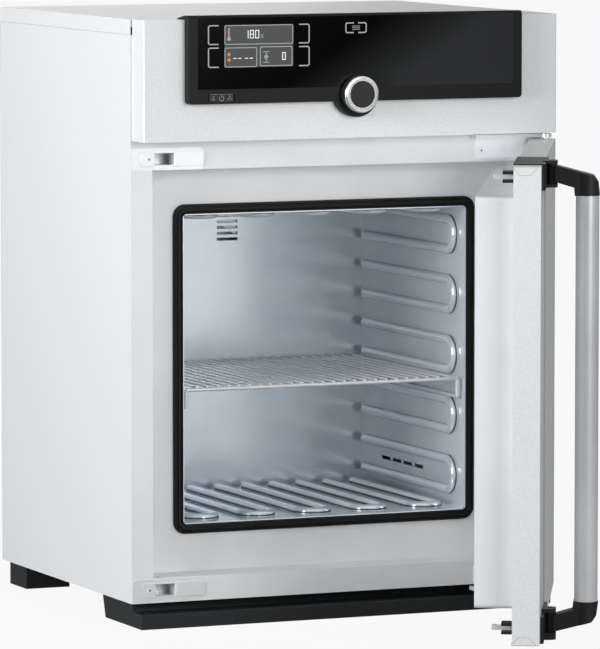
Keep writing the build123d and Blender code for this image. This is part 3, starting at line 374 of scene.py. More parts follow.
@dataclass(frozen=True)
class PanelGlass:
    """Glass printed black on its back: deep black, with a painted reflection, a grey sheen in the base
    colour that opens towards its lower right.

    Attributes:
        name: The real material.
        stops: Colours across the painted sheen, from its upper left to its lower right.
        lean: How much the painted sheen's edge leans, in x for each unit of z.
        shift: Place of the painted sheen's edge, in metres.
        rate: How fast the painted sheen opens, for each metre.
        roughness: Gloss, 0 to 1.
        specular: Strength of the surface reflection.
    """
    name: str = "Back-printed control glass"
    stops: Stops = ((0.0, "010202"), (0.26, "141515"), (0.6, "242525"), (1.0, "343537"))
    lean: float = -1.6
    shift: float = 1.215
    rate: float = 6.5
    roughness: float = 0.12
    specular: float = 0.12

    def material(self) -> bpy.types.Material:
        """Makes the material.

        Returns:
            The material.
        """
        material, tree, shader = new_material(self.name)
        place = add_node(tree, "ShaderNodeTexCoord").outputs["Object"]
        parts = add_node(tree, "ShaderNodeSeparateXYZ", links={"Vector": place})
        edge = add_node(tree, "ShaderNodeMath", {"operation": "MULTIPLY_ADD"},
                        {1: self.lean, 2: self.shift}, {0: parts.outputs["Z"]})
        across = add_node(tree, "ShaderNodeMath", {"operation": "ADD"},
                          links={0: parts.outputs["X"], 1: edge.outputs[0]})
        share = add_node(tree, "ShaderNodeMath", {"operation": "MULTIPLY"}, {1: self.rate},
                         {0: across.outputs[0]})
        # Painted reflection: the grey sheen is a gradient in the base colour, set by place on the glass
        tint = add_node(tree, "ShaderNodeValToRGB", links={"Fac": share.outputs[0]}, stops=self.stops)
        tree.links.new(tint.outputs["Color"], shader.inputs["Base Color"])
        shader.inputs["Roughness"].default_value = self.roughness
        shader.inputs["Specular IOR Level"].default_value = self.specular
        return material


@dataclass(frozen=True)
class GlowingPrint:
    """Screen print that shines a little, so that it reads on the dark glass: lit from behind under the
    glass, painted light on the rocking key.

    Attributes:
        name: The real material.
        colour: Screen colour of the ink.
        glow: Strength of its glow, a back light under the glass and painted light on the rocking key.
        grain_mm: Size of the spots that the screen's mesh leaves in the ink.
        roughness: Least and most gloss of those spots, 0 to 1.
    """
    name: str
    colour: str
    glow: float
    grain_mm: float = 0.8
    roughness: tuple[float, float] = (0.47, 0.53)

    def material(self) -> bpy.types.Material:
        """Makes the material.

        Returns:
            The material.
        """
        material, tree, shader = new_material(self.name)
        place = add_node(tree, "ShaderNodeTexCoord").outputs["Object"]
        grain = add_node(tree, "ShaderNodeTexNoise", values={"Scale": 1 / (self.grain_mm * MM)},
                         links={"Vector": place})
        least, most = self.roughness
        gloss = add_node(tree, "ShaderNodeMapRange", values={"To Min": least, "To Max": most},
                         links={"Value": grain.outputs["Fac"]})
        tree.links.new(gloss.outputs["Result"], shader.inputs["Roughness"])
        shader.inputs["Base Color"].default_value = srgb(self.colour)
        shader.inputs["Emission Color"].default_value = srgb(self.colour)
        shader.inputs["Emission Strength"].default_value = self.glow
        return material


@dataclass(frozen=True)
class PolishedMetal:
    """Turned or polished metal: a bright reflection that faint tool marks dull in places.

    Attributes:
        name: The real material.
        colour: Screen colour of the metal.
        roughness: Mean gloss, 0 to 1.
        spread: Least and most gloss of the tool marks, as shares of the mean.
        mark_mm: Size of the tool marks.
    """
    name: str
    colour: str
    roughness: float
    spread: tuple[float, float] = (0.7, 1.4)
    mark_mm: float = 1.5

    def material(self) -> bpy.types.Material:
        """Makes the material.

        Returns:
            The material.
        """
        material, tree, shader = new_material(self.name)
        place = add_node(tree, "ShaderNodeTexCoord").outputs["Object"]
        marks = add_node(tree, "ShaderNodeTexNoise",
                         values={"Scale": 1 / (self.mark_mm * MM), "Detail": 3.0}, links={"Vector": place})
        least, most = self.spread
        gloss = add_node(tree, "ShaderNodeMapRange",
                         values={"To Min": self.roughness * least, "To Max": self.roughness * most},
                         links={"Value": marks.outputs["Fac"]})
        shader.inputs["Base Color"].default_value = srgb(self.colour)
        shader.inputs["Metallic"].default_value = 1.0
        tree.links.new(gloss.outputs["Result"], shader.inputs["Roughness"])
        return material


# Bright liner sheet, stretched over its beads by the press: pale blue grey with a soft gloss
LINER_SIDE = BrushedSheet("Beaded chamber sheet", light="f3f9fe", dark="e6eef5", metallic=0.5,
                          roughness=0.24, pitch_mm=0.6, depth=0.03, stretch=(1.0, 0.05, 1.0),
                          anisotropy=0.3)

SLOT_FINISHES = {
    # Stainless cabinet sheet, embossed by a roll: a pale, even grey with a fine woven sparkle
    "linen_steel": LinenSheet("Linen-embossed stainless sheet", light="eaedee", dark="dee2e4",
                              metallic=0.2, roughness=0.52, pitch_mm=1.8, depth=0.34),
    # Ground stainless of front frame and door: smooth, with upright lines drawn coarser than real ones
    "satin_steel": BrushedSheet("Satin stainless sheet", light="eaecee", dark="e2e4e6", metallic=0.2,
                                roughness=0.48, pitch_mm=0.5, depth=0.05, stretch=(1.0, 1.0, 0.05)),
    # Bright rolled stainless of the chamber's back: bluish, and glossy enough to blur the beads in it
    "chamber_steel": BrushedSheet("Bright chamber liner", light="edf4fa", dark="dfe7ee", metallic=0.6,
                                  roughness=0.2, pitch_mm=0.6, depth=0.03, stretch=(1.0, 0.05, 1.0),
                                  anisotropy=0.3),
    # Zinc-coated inner sheet: dull grey in patches, drawn coarser than real spangle so that it shows
    "galvanised": LinenSheet("Zinc-coated sheet", light="b9bdbf", dark="9ba0a3", metallic=0.6,
                             roughness=0.5, pitch_mm=9.0, depth=0.1),
    # Pickled stainless fittings and shelf wires: nearly white, with a soft long highlight
    "bright_steel": BrushedSheet("Passivated stainless fitting", light="eceef0", dark="e0e3e6",
                                 metallic=0.35, roughness=0.3, pitch_mm=0.4, depth=0.03,
                                 stretch=(0.05, 1.0, 1.0)),
    # Stainless handle tube, brushed round: its lines spread the light into one upright band
    "grip_steel": BrushedSheet("Brushed round tube", light="f2f4f6", dark="e2e5e8", metallic=0.4,
                               roughness=0.3, pitch_mm=0.4, depth=0.05, stretch=(0.05, 0.05, 1.0),
                               anisotropy=0.4),
    # Glass-filled polyamide of arms and covers: near black, with a dull sheen on its edges
    "black_plastic": Moulded("Moulded dark plastic", light="1f2021", dark="191a1b", roughness=0.45,
                             grain_mm=0.6, depth=0.12, specular=0.3),
    # Moulded feet and plinth: dark grey that stays matt
    "foot_plastic": Moulded("Foot moulding", light="2b2e30", dark="202324", roughness=0.55,
                            grain_mm=0.8, depth=0.2, specular=0.2),
    # Moulded panel frame: smoother and darker than the feet, so it sets off the glass
    "panel_plastic": Moulded("Panel frame moulding", light="0f1010", dark="0c0d0d", roughness=0.42,
                             grain_mm=0.5, depth=0.08, specular=0.18),
    # Moulded silicone rubber: black with a faint bloom on the lips
    "gasket_rubber": Moulded("Silicone gasket", light="161616", dark="101010", roughness=0.5,
                             grain_mm=0.7, depth=0.2, specular=0.25),
    # Float glass, printed on its back: a deep black under a soft grey sheen, a painted reflection in its
    # colour
    "panel_glass": PanelGlass(),
    # Lit display field: an even dark grey
    "display": GlowingPrint("Display pane", colour="3e3f3f", glow=0.15),
    # Chrome plate: a hard bright ring
    "knob_chrome": PolishedMetal("Chromed knob ring", colour="e6e8ea", roughness=0.2),
    # Mineral wool: matted fibres in a dull yellow grey
    "wadding": Moulded("Pressed mineral wool", light="b9b397", dark="8d876d", roughness=0.95,
                       grain_mm=3.0, depth=0.9, specular=0.1),
    # Oxidised heating rods: brown grey without gloss
    "heater_metal": Moulded("Heating rod", light="4a4542", dark="3a3634", roughness=0.6, grain_mm=1.5,
                            depth=0.3),
    # Solder mask over copper tracks: green in two depths
    "board": Moulded("Circuit board", light="2c6b45", dark="1d4a31", roughness=0.45, grain_mm=2.0,
                     depth=0.2),
    # Turned brass: warm and half bright
    "brass": PolishedMetal("Turned brass bush", colour="c9a35c", roughness=0.3),
}

NODE_FINISHES = {
    # Steel latch tongues, worn bright where they slide
    ("hook_top", "hook_bottom"): PolishedMetal("Polished latch hook", colour="f4f6f8", roughness=0.24),
    # Pressed liner: each bead has painted shade on its foot and flank and a bright, glossy crown, in the
    # sheet's own soft light
    ("chamber_wall_left", "chamber_wall_right"): BeadedSheet("Beaded chamber side", LINER_SIDE, "X", 0.0),
    ("chamber_floor", "chamber_ceiling"): BeadedSheet("Beaded chamber floor", LINER_SIDE, "Z", 328.5),
}

PRINT_FINISHES = {
    # Screen prints on glass and key: flat, matt, and a little brighter than their own ink; on the rocking
    # key that glow is painted light
    "print_white": GlowingPrint("Backlit white print", colour="e6e8ea", glow=0.45),
    "print_grey": GlowingPrint("Backlit grey print", colour="9fa2a6", glow=0.3),
    # Painted light: this print glows on the rocking key, which has no back light
    "print_dim": GlowingPrint("Grey key print", colour="85888b", glow=0.2),
    "print_red": GlowingPrint("Red print", colour="b84a35", glow=0.3),
    "print_amber": GlowingPrint("Amber print", colour="bf7a3c", glow=0.25),
    # The shade in a closed joint between two sheets: matt grey
    "seam": Moulded("Shadow in a joint", light="7c8083", dark="6c7073", roughness=0.7, grain_mm=0.8,
                    depth=0.1),
}


class Facing(Enum):
    """Which way a flat piece faces: its sketch x and y, and the way out of the surface."""
    FRONT = (Vector((1, 0, 0)), Vector((0, 0, 1)), Vector((0, -1, 0)))
    LEFT = (Vector((0, -1, 0)), Vector((0, 0, 1)), Vector((-1, 0, 0)))
    BACK = (Vector((-1, 0, 0)), Vector((0, 0, 1)), Vector((0, 1, 0)))
    UP = (Vector((1, 0, 0)), Vector((0, 1, 0)), Vector((0, 0, 1)))


def rounded_box(width: float, height: float, radius: float, steps: int = 5) -> Outline:
    """Outline of a rectangle with round corners about the origin, counter-clockwise.

    Args:
        width: Its width.
        height: Its height.
        radius: Radius of its corners.
        steps: Pieces of each round corner.

    Returns:
        The outline's points.
    """
    points = []
    for right, up, start in ((1, 1, 0), (-1, 1, 90), (-1, -1, 180), (1, -1, 270)):
        centre_x = right * (width / 2 - radius)
        centre_y = up * (height / 2 - radius)
        for step in range(steps + 1):
            turn = math.radians(start + 90 * step / steps)
            points.append((centre_x + radius * math.cos(turn), centre_y + radius * math.sin(turn)))
    return points


def circle(radius: float, steps: int = 32) -> Outline:
    """Outline of a circle about the origin.

    Args:
        radius: Its radius.
        steps: Number of its points.

    Returns:
        The outline's points.
    """
    turns = [math.tau * step / steps for step in range(steps)]
    return [(radius * math.cos(turn), radius * math.sin(turn)) for turn in turns]


def plate(outline: Outline, centre: Vector, facing: Facing, thickness: float,
          crown: float = 0.0) -> bmesh.types.BMesh:
    """Flat piece of an outline in millimetres.

    Args:
        outline: Points of its edge.
        centre: Middle of its back face, in millimetres.
        facing: The way it faces.
        thickness: Thickness in millimetres.
        crown: How much smaller the front face is on each side, as a chamfer.

    Returns:
        The bmesh, in metres.
    """
    across, up, out = facing.value
    mesh = bmesh.new()
    reach = max(max(abs(x), abs(y)) for x, y in outline)
    levels = [(0.0, 0.0), (thickness, 0.0)]
    if crown:
        levels = [(0.0, 0.0), (thickness - crown, 0.0), (thickness, crown)]
    rings = []
    for level, inset in levels:
        shrink = 1 - inset / reach
        places = [centre + across * x * shrink + up * y * shrink + out * level for x, y in outline]
        rings.append([mesh.verts.new(MM * place) for place in places])
    for low, high in zip(rings, rings[1:]):
        for i in range(len(outline)):
            j = (i + 1) % len(outline)
            mesh.faces.new((low[i], low[j], high[j], high[i]))
    mesh.faces.new(rings[-1])
    mesh.faces.new(list(reversed(rings[0])))
    return mesh


def line_strip(points: Outline, width: float, origin: Vector, facing: Facing, height: float,
               closed: bool = False) -> bmesh.types.BMesh:
    """Raised line of even width along points, with mitred bends.

    Args:
        points: Points of its middle, in millimetres.
        width: Its width.
        origin: Place of the sketch's origin, in millimetres.
        facing: The way the line faces.
        height: How far it stands out.
        closed: Whether the ends meet.

    Returns:
        The bmesh, in metres.
    """
    across, up, out = facing.value
    mesh = bmesh.new()
    count = len(points)
    rows = []
    for i, (x, y) in enumerate(points):
        before = points[(i - 1) % count] if closed or i > 0 else None
        after = points[(i + 1) % count] if closed or i < count - 1 else None
        ahead = Vector((after[0] - x, after[1] - y)).normalized() if after else None
        behind = Vector((x - before[0], y - before[1])).normalized() if before else None
        heading = (ahead + behind).normalized() if ahead and behind else ahead or behind
        side = Vector((-heading.y, heading.x))
        stretch = 1 / max(0.4, heading.dot(ahead or behind))
        row = []
        for sign in (-1, 1):
            place = Vector((x, y)) + side * (sign * width / 2 * stretch)
            base = origin + across * place.x + up * place.y
            row += [mesh.verts.new(MM * base), mesh.verts.new(MM * (base + out * height))]
        rows.append(row)
    pairs = list(zip(rows, rows[1:])) + ([(rows[-1], rows[0])] if closed else [])
    for a, b in pairs:
        mesh.faces.new((a[1], b[1], b[3], a[3]))
        mesh.faces.new((a[0], b[0], b[1], a[1]))
        mesh.faces.new((a[3], b[3], b[2], a[2]))
        mesh.faces.new((a[2], b[2], b[0], a[0]))
    if not closed:
        for row in (rows[0], rows[-1]):
            mesh.faces.new((row[0], row[1], row[3], row[2]))
    return mesh


def joined(meshes: list[bmesh.types.BMesh]) -> bmesh.types.BMesh:
    """Joins several bmeshes into the first and frees the others.

    Args:
        meshes: The bmeshes.

    Returns:
        The first of them, with all faces.
    """
    whole = meshes[0]
    for extra in meshes[1:]:
        data = bpy.data.meshes.new("joined")
        extra.to_mesh(data)
        extra.free()
        whole.from_mesh(data)
        bpy.data.meshes.remove(data)
    return whole


@dataclass(frozen=True)
class Stroked:
    """Numbers and letters drawn with straight strokes, as a segment display has them.

    Attributes:
        text: The characters.
        left: Left edge of the first.
        low: Their bottom edge.
        height: Their height.
        stroke: Width of the strokes.
        slim: Width of a character as a share of its height.
        gap: Space between two characters, in strokes.
        thickness: How far the strokes stand out.
    """
    text: str
    left: float
    low: float
    height: float
    stroke: float
    slim: float = 0.46
    gap: float = 3.1
    thickness: float = 0.05

    def strokes(self, character: str) -> list[Outline]:
        """Strokes of one character about its lower left corner.

        Args:
            character: The character.

        Returns:
            The two ends of each stroke.
        """
        width = self.height * self.slim
        top = self.height
        half = self.height / 2
        ends = {
            "a": [(0, top), (width, top)], "b": [(width, top), (width, half)],
            "c": [(width, half), (width, 0)], "d": [(0, 0), (width, 0)],
            "e": [(0, 0), (0, half)], "f": [(0, half), (0, top)],
            "g": [(0, half), (width, half)], "x": [(0, top), (width, 0)],
        }
        used = {"0": "abcdef", "1": "bc", "8": "abcdefg", "-": "g", "O": "abcdef", "N": "efxbc",
                "F": "aefg"}
        return [ends[name] for name in used[character]]

    def mesh(self, y: float) -> bmesh.types.BMesh:
        """Draws the characters.

        Args:
            y: Depth of the surface that carries them.

        Returns:
            The bmesh, in metres.
        """
        meshes = []
        reach = self.stroke / 2
        pitch = self.height * self.slim + self.gap * self.stroke
        for place, character in enumerate(self.text):
            origin = Vector((self.left + place * pitch, y, self.low))
            for (x0, y0), (x1, y1) in self.strokes(character):
                over_x = reach if x1 != x0 else 0
                over_y = math.copysign(reach, y1 - y0) if y1 != y0 else 0
                ends = [(x0 - over_x, y0 - over_y), (x1 + over_x, y1 + over_y)]
                meshes.append(line_strip(ends, self.stroke, origin, Facing.FRONT, self.thickness))
        return joined(meshes)


@dataclass(frozen=True)
class Kit:
    """What every sub-assembly needs: materials, the door's turn and a way to add a piece.

    Attributes:
        materials: Materials by slot or print.
        hinge: Place of the door's hinge line.
        door_angle: Angle of the door at rest, in degrees.
    """
    materials: dict[str, bpy.types.Material]
    hinge: tuple[float, float] = (283.0, -24.0)
    door_angle: float = 62.4

    def door_turn(self) -> Matrix:
        """Turns places on the shut door to the door's rest place.

        Returns:
            The matrix.
        """
        line = MM * Vector((*self.hinge, 0.0))
        turn = Matrix.Rotation(math.radians(self.door_angle), 4, "Z")
        return Matrix.Translation(line) @ turn @ Matrix.Translation(-line)

    def add(self, name: str, mesh: bmesh.types.BMesh, slot: str, body: str = "root",
            on_door: bool = False) -> bpy.types.Object:
        """Turns a finished bmesh into a piece that rides on a body.

        Args:
            name: Name of the piece.
            mesh: Its bmesh, in metres; freed here.
            slot: Slot or print that it takes its finish from.
            body: Body that it rides on.
            on_door: Whether it was drawn on the shut door.

        Returns:
            The new object.
        """
        if on_door:
            bmesh.ops.transform(mesh, matrix=self.door_turn(), verts=mesh.verts)
        bmesh.ops.recalc_face_normals(mesh, faces=mesh.faces)
        data = bpy.data.meshes.new(name)
        mesh.to_mesh(data)
        mesh.free()
        piece = bpy.data.objects.new(name, data)
        bpy.context.scene.collection.objects.link(piece)
        data.materials.append(self.materials[slot])
        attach(piece, body)
        log.info("%s rides on %s", name, body)
        return piece


@dataclass
class ControlPanel:
    """Display, touch marks and key signs of the control panel. Places are x and z on the panel.

    Attributes:
        kit: Materials and the way to add pieces.
        glass_front: Depth of the glass's front face.
        key_front: Depth of the rocking key's front face.
        lift: Room between the glass and the first print.
        mark: Thickness of a print.
        field_box: Width, height and corner radius of the lit field.
        field_centre: Middle of the lit field.
        panes: Left, right, low and high edge of each reading's frame.
        pane_corner: Corner radius of those frames.
        pane_line: Width of their line.
        numbers: Name, characters and finish of each reading.
        thermometer_x: Middle of the thermometer and the timer sign.
        bulb: Radius and height above the floor of the thermometer's bulb.
        tube: Width, height, corner radius and height above the floor of its tube.
        column: The same of the coloured column in the tube.
        timer_dots: Radius and both heights above the floor of the timer sign's halves.
        flap_sign_at: Middle of the flap sign.
        flap_bars: Half length, line width and both heights of its two bars.
        flap_disc: Radius of its disc.
        flap_blade: Width, height and corner radius of its blade.
        bracket_line: Width of the touch brackets' line.
        bracket_corner: Cut of their corners.
        brackets_x: Open and shut side of the left and the right brackets.
        brackets_z: Low and high edge of the upper and the lower brackets.
        menu_x: Middle of the menu key.
        menu_z: Low and high edge of its brackets.
        menu_reach: How far their open and their shut side stand from its middle.
        menu_corner: Cut of their corners.
        menu_bars: Half length, line width and middle height of its three bars.
        menu_steps: Heights of the bars about that middle.
        key_centre: Middle of the stand-by sign.
        key_ring: Radius, first and last angle, and step of its open ring, in millimetres and degrees.
        key_line: Width of its line.
        key_stroke: Ends of the stroke in the ring.
        key_rule: Half length, line width and rise of the thin line over it.
        key_words: The words of both positions.
        key_dash: Width, height and corner radius of the mark over the first, and its place.
        key_dot: Radius of the mark over the second, and its place.
    """
    kit: Kit
    glass_front: float = -52.0
    key_front: float = -53.0
    lift: float = 0.02
    mark: float = 0.05
    field_box: tuple[float, float, float] = (95.0, 53.8, 0.8)
    field_centre: tuple[float, float] = (-137.1, 749.9)
    panes: tuple[tuple[float, float, float, float], ...] = (
        (-184.0, -90.2, 752.4, 776.2), (-184.0, -140.2, 723.6, 747.8), (-135.2, -91.2, 724.4, 748.4))
    pane_corner: float = 1.6
    pane_line: float = 1.0
    numbers: tuple[tuple[str, Stroked, str], ...] = (
        ("reading_temperature", Stroked("180", -156.4, 760.0, 9.6, 0.95), "print_white"),
        ("reading_tenth", Stroked("0", -133.6, 760.2, 4.0, 0.7), "print_grey"),
        ("reading_flap", Stroked("0", -104.4, 732.0, 8.6, 1.05), "print_white"),
        ("reading_time", Stroked("--", -172.0, 730.6, 7.6, 1.0), "print_white"),
        ("reading_time_right", Stroked("--", -156.0, 730.6, 7.6, 1.0), "print_white"))
    thermometer_x: float = -178.4
    bulb: tuple[float, float] = (2.5, 759.5)
    tube: tuple[float, float, float, float] = (2.6, 13.0, 1.2, 766.6)
    column: tuple[float, float, float, float] = (1.5, 9.6, 0.7, 767.6)
    timer_dots: tuple[float, float, float] = (2.4, 739.6, 732.6)
    flap_sign_at: tuple[float, float] = (-127.0, 735.6)
    flap_bars: tuple[float, float, float, float] = (4.2, 0.9, 6.6, -6.8)
    flap_disc: float = 2.8
    flap_blade: tuple[float, float, float] = (1.6, 11.0, 0.7)
    bracket_line: float = 1.5
    bracket_corner: float = 1.6
    brackets_x: tuple[tuple[float, float], ...] = ((-192.6, -206.6), (-81.4, -67.4))
    brackets_z: tuple[tuple[float, float], ...] = ((752.6, 776.4), (723.6, 748.0))
    menu_x: float = -1.8
    menu_z: tuple[float, float] = (764.6, 777.0)
    menu_reach: tuple[float, float] = (3.0, 14.2)
    menu_corner: float = 1.4
    menu_bars: tuple[float, float, float] = (5.4, 1.0, 770.8)
    menu_steps: tuple[float, ...] = (-2.2, 0.0, 2.2)
    key_centre: tuple[float, float] = (-189.0, 684.0)
    key_ring: tuple[float, int, int, int] = (3.1, 38, 323, 15)
    key_line: float = 0.8
    key_stroke: tuple[float, float] = (0.6, 3.9)
    key_rule: tuple[float, float, float] = (15.5, 0.35, 5.0)
    key_words: tuple[Stroked, ...] = (Stroked("ON", -202.4, 681.6, 2.6, 0.45),
                                      Stroked("OFF", -180.8, 681.6, 2.6, 0.45))
    key_dash: tuple[float, float, float, float, float] = (2.4, 1.0, 0.4, -200.2, 686.2)
    key_dot: tuple[float, float, float] = (1.0, -177.8, 686.4)

    def flat(self, outline: Outline, x: float, y: float, z: float) -> bmesh.types.BMesh:
        """Prints an outline that faces the front, with its back face at y."""
        return plate(outline, Vector((x, y, z)), Facing.FRONT, self.mark)

    def line(self, points: Outline, width: float, x: float, y: float, z: float,
             closed: bool = False) -> bmesh.types.BMesh:
        """Prints a line that faces the front, with its points about x and z."""
        return line_strip(points, width, Vector((x, y, z)), Facing.FRONT, self.mark, closed)

    def display_panes(self, y: float) -> None:
        """Adds the grey field and the bright lines round its three readings.

        Args:
            y: Depth of the field.
        """
        x, z = self.field_centre
        self.kit.add("display_field", self.flat(rounded_box(*self.field_box), x, y, z), "display")
        frames = []
        for left, right, low, high in self.panes:
            outline = rounded_box(right - left, high - low, self.pane_corner)
            frames.append(self.line(outline, self.pane_line, (left + right) / 2, y - self.mark,
                                    (low + high) / 2, closed=True))
        self.kit.add("display_frames", joined(frames), "print_grey")

    def readings(self, y: float) -> None:
        """Adds the numbers of the readings.

        Args:
            y: Depth of the field's face.
        """
        for name, text, finish in self.numbers:
            self.kit.add(name, text.mesh(y), finish)

    def signs(self, y: float) -> None:
        """Adds the thermometer, the timer sign and the flap sign.

        Args:
            y: Depth of the field's face.
        """
        x = self.thermometer_x
        bulb_radius, bulb_z = self.bulb
        *tube_box, tube_z = self.tube
        glass = [self.flat(circle(bulb_radius), x, y, bulb_z),
                 self.flat(rounded_box(*tube_box), x, y, tube_z)]
        self.kit.add("thermometer_glass", joined(glass), "print_grey")
        *column_box, column_z = self.column
        column = self.flat(rounded_box(*column_box), x, y - self.mark, column_z)
        self.kit.add("thermometer_column", column, "print_red")
        dot_radius, *dot_levels = self.timer_dots
        timer = [self.flat(circle(dot_radius), x, y, z) for z in dot_levels]
        self.kit.add("timer_sign", joined(timer), "print_amber")
        x, z = self.flap_sign_at
        half, width, *levels = self.flap_bars
        flap = [self.line([(-half, level), (half, level)], width, x, y, z) for level in levels]
        flap += [self.flat(circle(self.flap_disc), x, y, z),
                 self.flat(rounded_box(*self.flap_blade), x, y, z)]
        self.kit.add("flap_sign", joined(flap), "print_grey")

    def touch_marks(self, y: float) -> None:
        """Adds the brackets round the touch keys and the bars of the menu key.

        Args:
            y: Depth of the marks.
        """
        spans = [(opened, shut, low, high, self.bracket_corner)
                 for opened, shut in self.brackets_x for low, high in self.brackets_z]
        near, far = self.menu_reach
        spans += [(self.menu_x + side * near, self.menu_x + side * far, *self.menu_z, self.menu_corner)
                  for side in (-1, 1)]
        brackets = []
        for opened, shut, low, high, corner in spans:
            bend = shut + math.copysign(corner, opened - shut)
            points = [(opened, high), (bend, high), (shut, high - corner), (shut, low + corner),
                      (bend, low), (opened, low)]
            brackets.append(self.line(points, self.bracket_line, 0, y, 0))
        self.kit.add("touch_brackets", joined(brackets), "print_grey")
        half, width, z = self.menu_bars
        bars = [self.line([(-half, step), (half, step)], width, self.menu_x, y, z)
                for step in self.menu_steps]
        self.kit.add("menu_sign", joined(bars), "print_dim")

    def power_marks(self, y: float) -> None:
        """Adds the stand-by sign and the marks of the two positions on the rocking key.

        Args:
            y: Depth of the key's face.
        """
        x, z = self.key_centre
        radius, *angles = self.key_ring
        turns = [math.radians(angle) for angle in range(*angles)]
        ring = [(radius * math.sin(turn), radius * math.cos(turn)) for turn in turns]
        stroke = [(0, end) for end in self.key_stroke]
        half, width, rise = self.key_rule
        sign = [self.line(ring, self.key_line, x, y, z), self.line(stroke, self.key_line, x, y, z),
                self.line([(-half, 0), (half, 0)], width, x, y, z + rise)]
        # The rocking key's prints glow: painted light, since the key has no back light
        self.kit.add("power_sign", joined(sign), "print_dim", body="power_rocker")
        *dash, dash_x, dash_z = self.key_dash
        dot_radius, dot_x, dot_z = self.key_dot
        stops = [word.mesh(y) for word in self.key_words]
        stops += [self.flat(rounded_box(*dash), dash_x, y, dash_z),
                  self.flat(circle(dot_radius), dot_x, y, dot_z)]
        self.kit.add("power_stops", joined(stops), "print_dim", body="power_rocker")

    def build(self) -> None:
        """Adds every piece of the panel."""
        face = self.glass_front - self.lift
        self.display_panes(face)
        self.readings(face - self.mark)
        self.signs(face - self.mark)
        self.touch_marks(face)
        self.power_marks(self.key_front)


@dataclass
class DoorFolds:
    """Fine joints where the casing's end flaps meet its free edge, drawn on the shut door.

    Attributes:
        kit: Materials and the way to add pieces.
        edge_x: Just outside the free edge's face.
        top: Height of the upper joint.
        bottom: Height of the lower joint.
        flap_depth: How far a flap reaches along the edge.
        flap_bends: Places of a flap's bends across the edge, from the front to the back.
        joint_ends: Both ends of the straight joint across the edge.
        line: Width of a joint.
        rise: How far a joint's shade stands out.
    """
    kit: Kit
    edge_x: float = -290.02
    top: float = 618.9
    bottom: float = 35.1
    flap_depth: float = 9.4
    flap_bends: tuple[float, float, float, float] = (32.0, 23.0, 10.0, 1.2)
    joint_ends: tuple[float, float] = (33.4, 0.8)
    line: float = 0.35
    rise: float = 0.03

    def build(self) -> None:
        """Adds the joints of both ends."""
        origin = Vector((self.edge_x, 0, 0))
        lines = []
        for end, depth in ((self.top, -self.flap_depth), (self.bottom, self.flap_depth)):
            flap = list(zip(self.flap_bends, (end, end + depth, end + depth, end)))
            joint = [(place, end) for place in self.joint_ends]
            for points in (flap, joint):
                lines.append(line_strip(points, self.line, origin, Facing.LEFT, self.rise))
        self.kit.add("door_fold_lines", joined(lines), "seam", body="door", on_door=True)


@dataclass
class DoorSeal:
    """Silicone seal round the chamber mouth: a closed frame with three lips and round corners.

    Attributes:
        kit: Materials and the way to add pieces.
        width: Width of the seal.
        corner: Radius of its outer corners.
        corner_steps: Pieces of each round corner.
        corner_loss: How much of the way inward the corners' radius loses.
        lips: Section across the seal: share of its width from outside in, share of its height.
    """
    kit: Kit
    width: float = 12.4
    corner: float = 16.0
    corner_steps: int = 10
    corner_loss: float = 0.72
    lips: tuple[tuple[float, float], ...] = (
        (0.0, 0.0), (0.0, 0.5), (0.08, 0.78), (0.2, 0.84), (0.3, 0.6), (0.4, 0.62), (0.46, 1.0), (0.62, 1.0),
        (0.68, 0.62), (0.78, 0.58), (0.86, 0.8), (0.96, 0.74), (1.0, 0.45), (1.0, 0.0))

    def build(self) -> None:
        """Lofts the section round the mouth and puts it in the place of the plain frame."""
        low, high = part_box("door_gasket")
        depth = high[1] - low[1]
        centre_x = (low[0] + high[0]) / 2
        centre_z = (low[2] + high[2]) / 2
        mesh = bmesh.new()
        rings = []
        for share, rise in self.lips:
            inset = share * self.width * MM
            radius = self.corner * MM - inset * self.corner_loss
            outline = rounded_box(high[0] - low[0] - 2 * inset, high[2] - low[2] - 2 * inset, radius,
                                  self.corner_steps)
            y = high[1] - rise * depth
            rings.append([mesh.verts.new((centre_x + x, y, centre_z + z)) for x, z in outline])
        for outer, inner in zip(rings, rings[1:]):
            for i in range(len(outer)):
                j = (i + 1) % len(outer)
                mesh.faces.new((outer[i], outer[j], inner[j], inner[i]))
        for i in range(len(rings[0])):
            j = (i + 1) % len(rings[0])
            mesh.faces.new((rings[-1][i], rings[-1][j], rings[0][j], rings[0][i]))
        seal = self.kit.add("door_seal", mesh, "gasket_rubber")
        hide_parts("door_gasket")


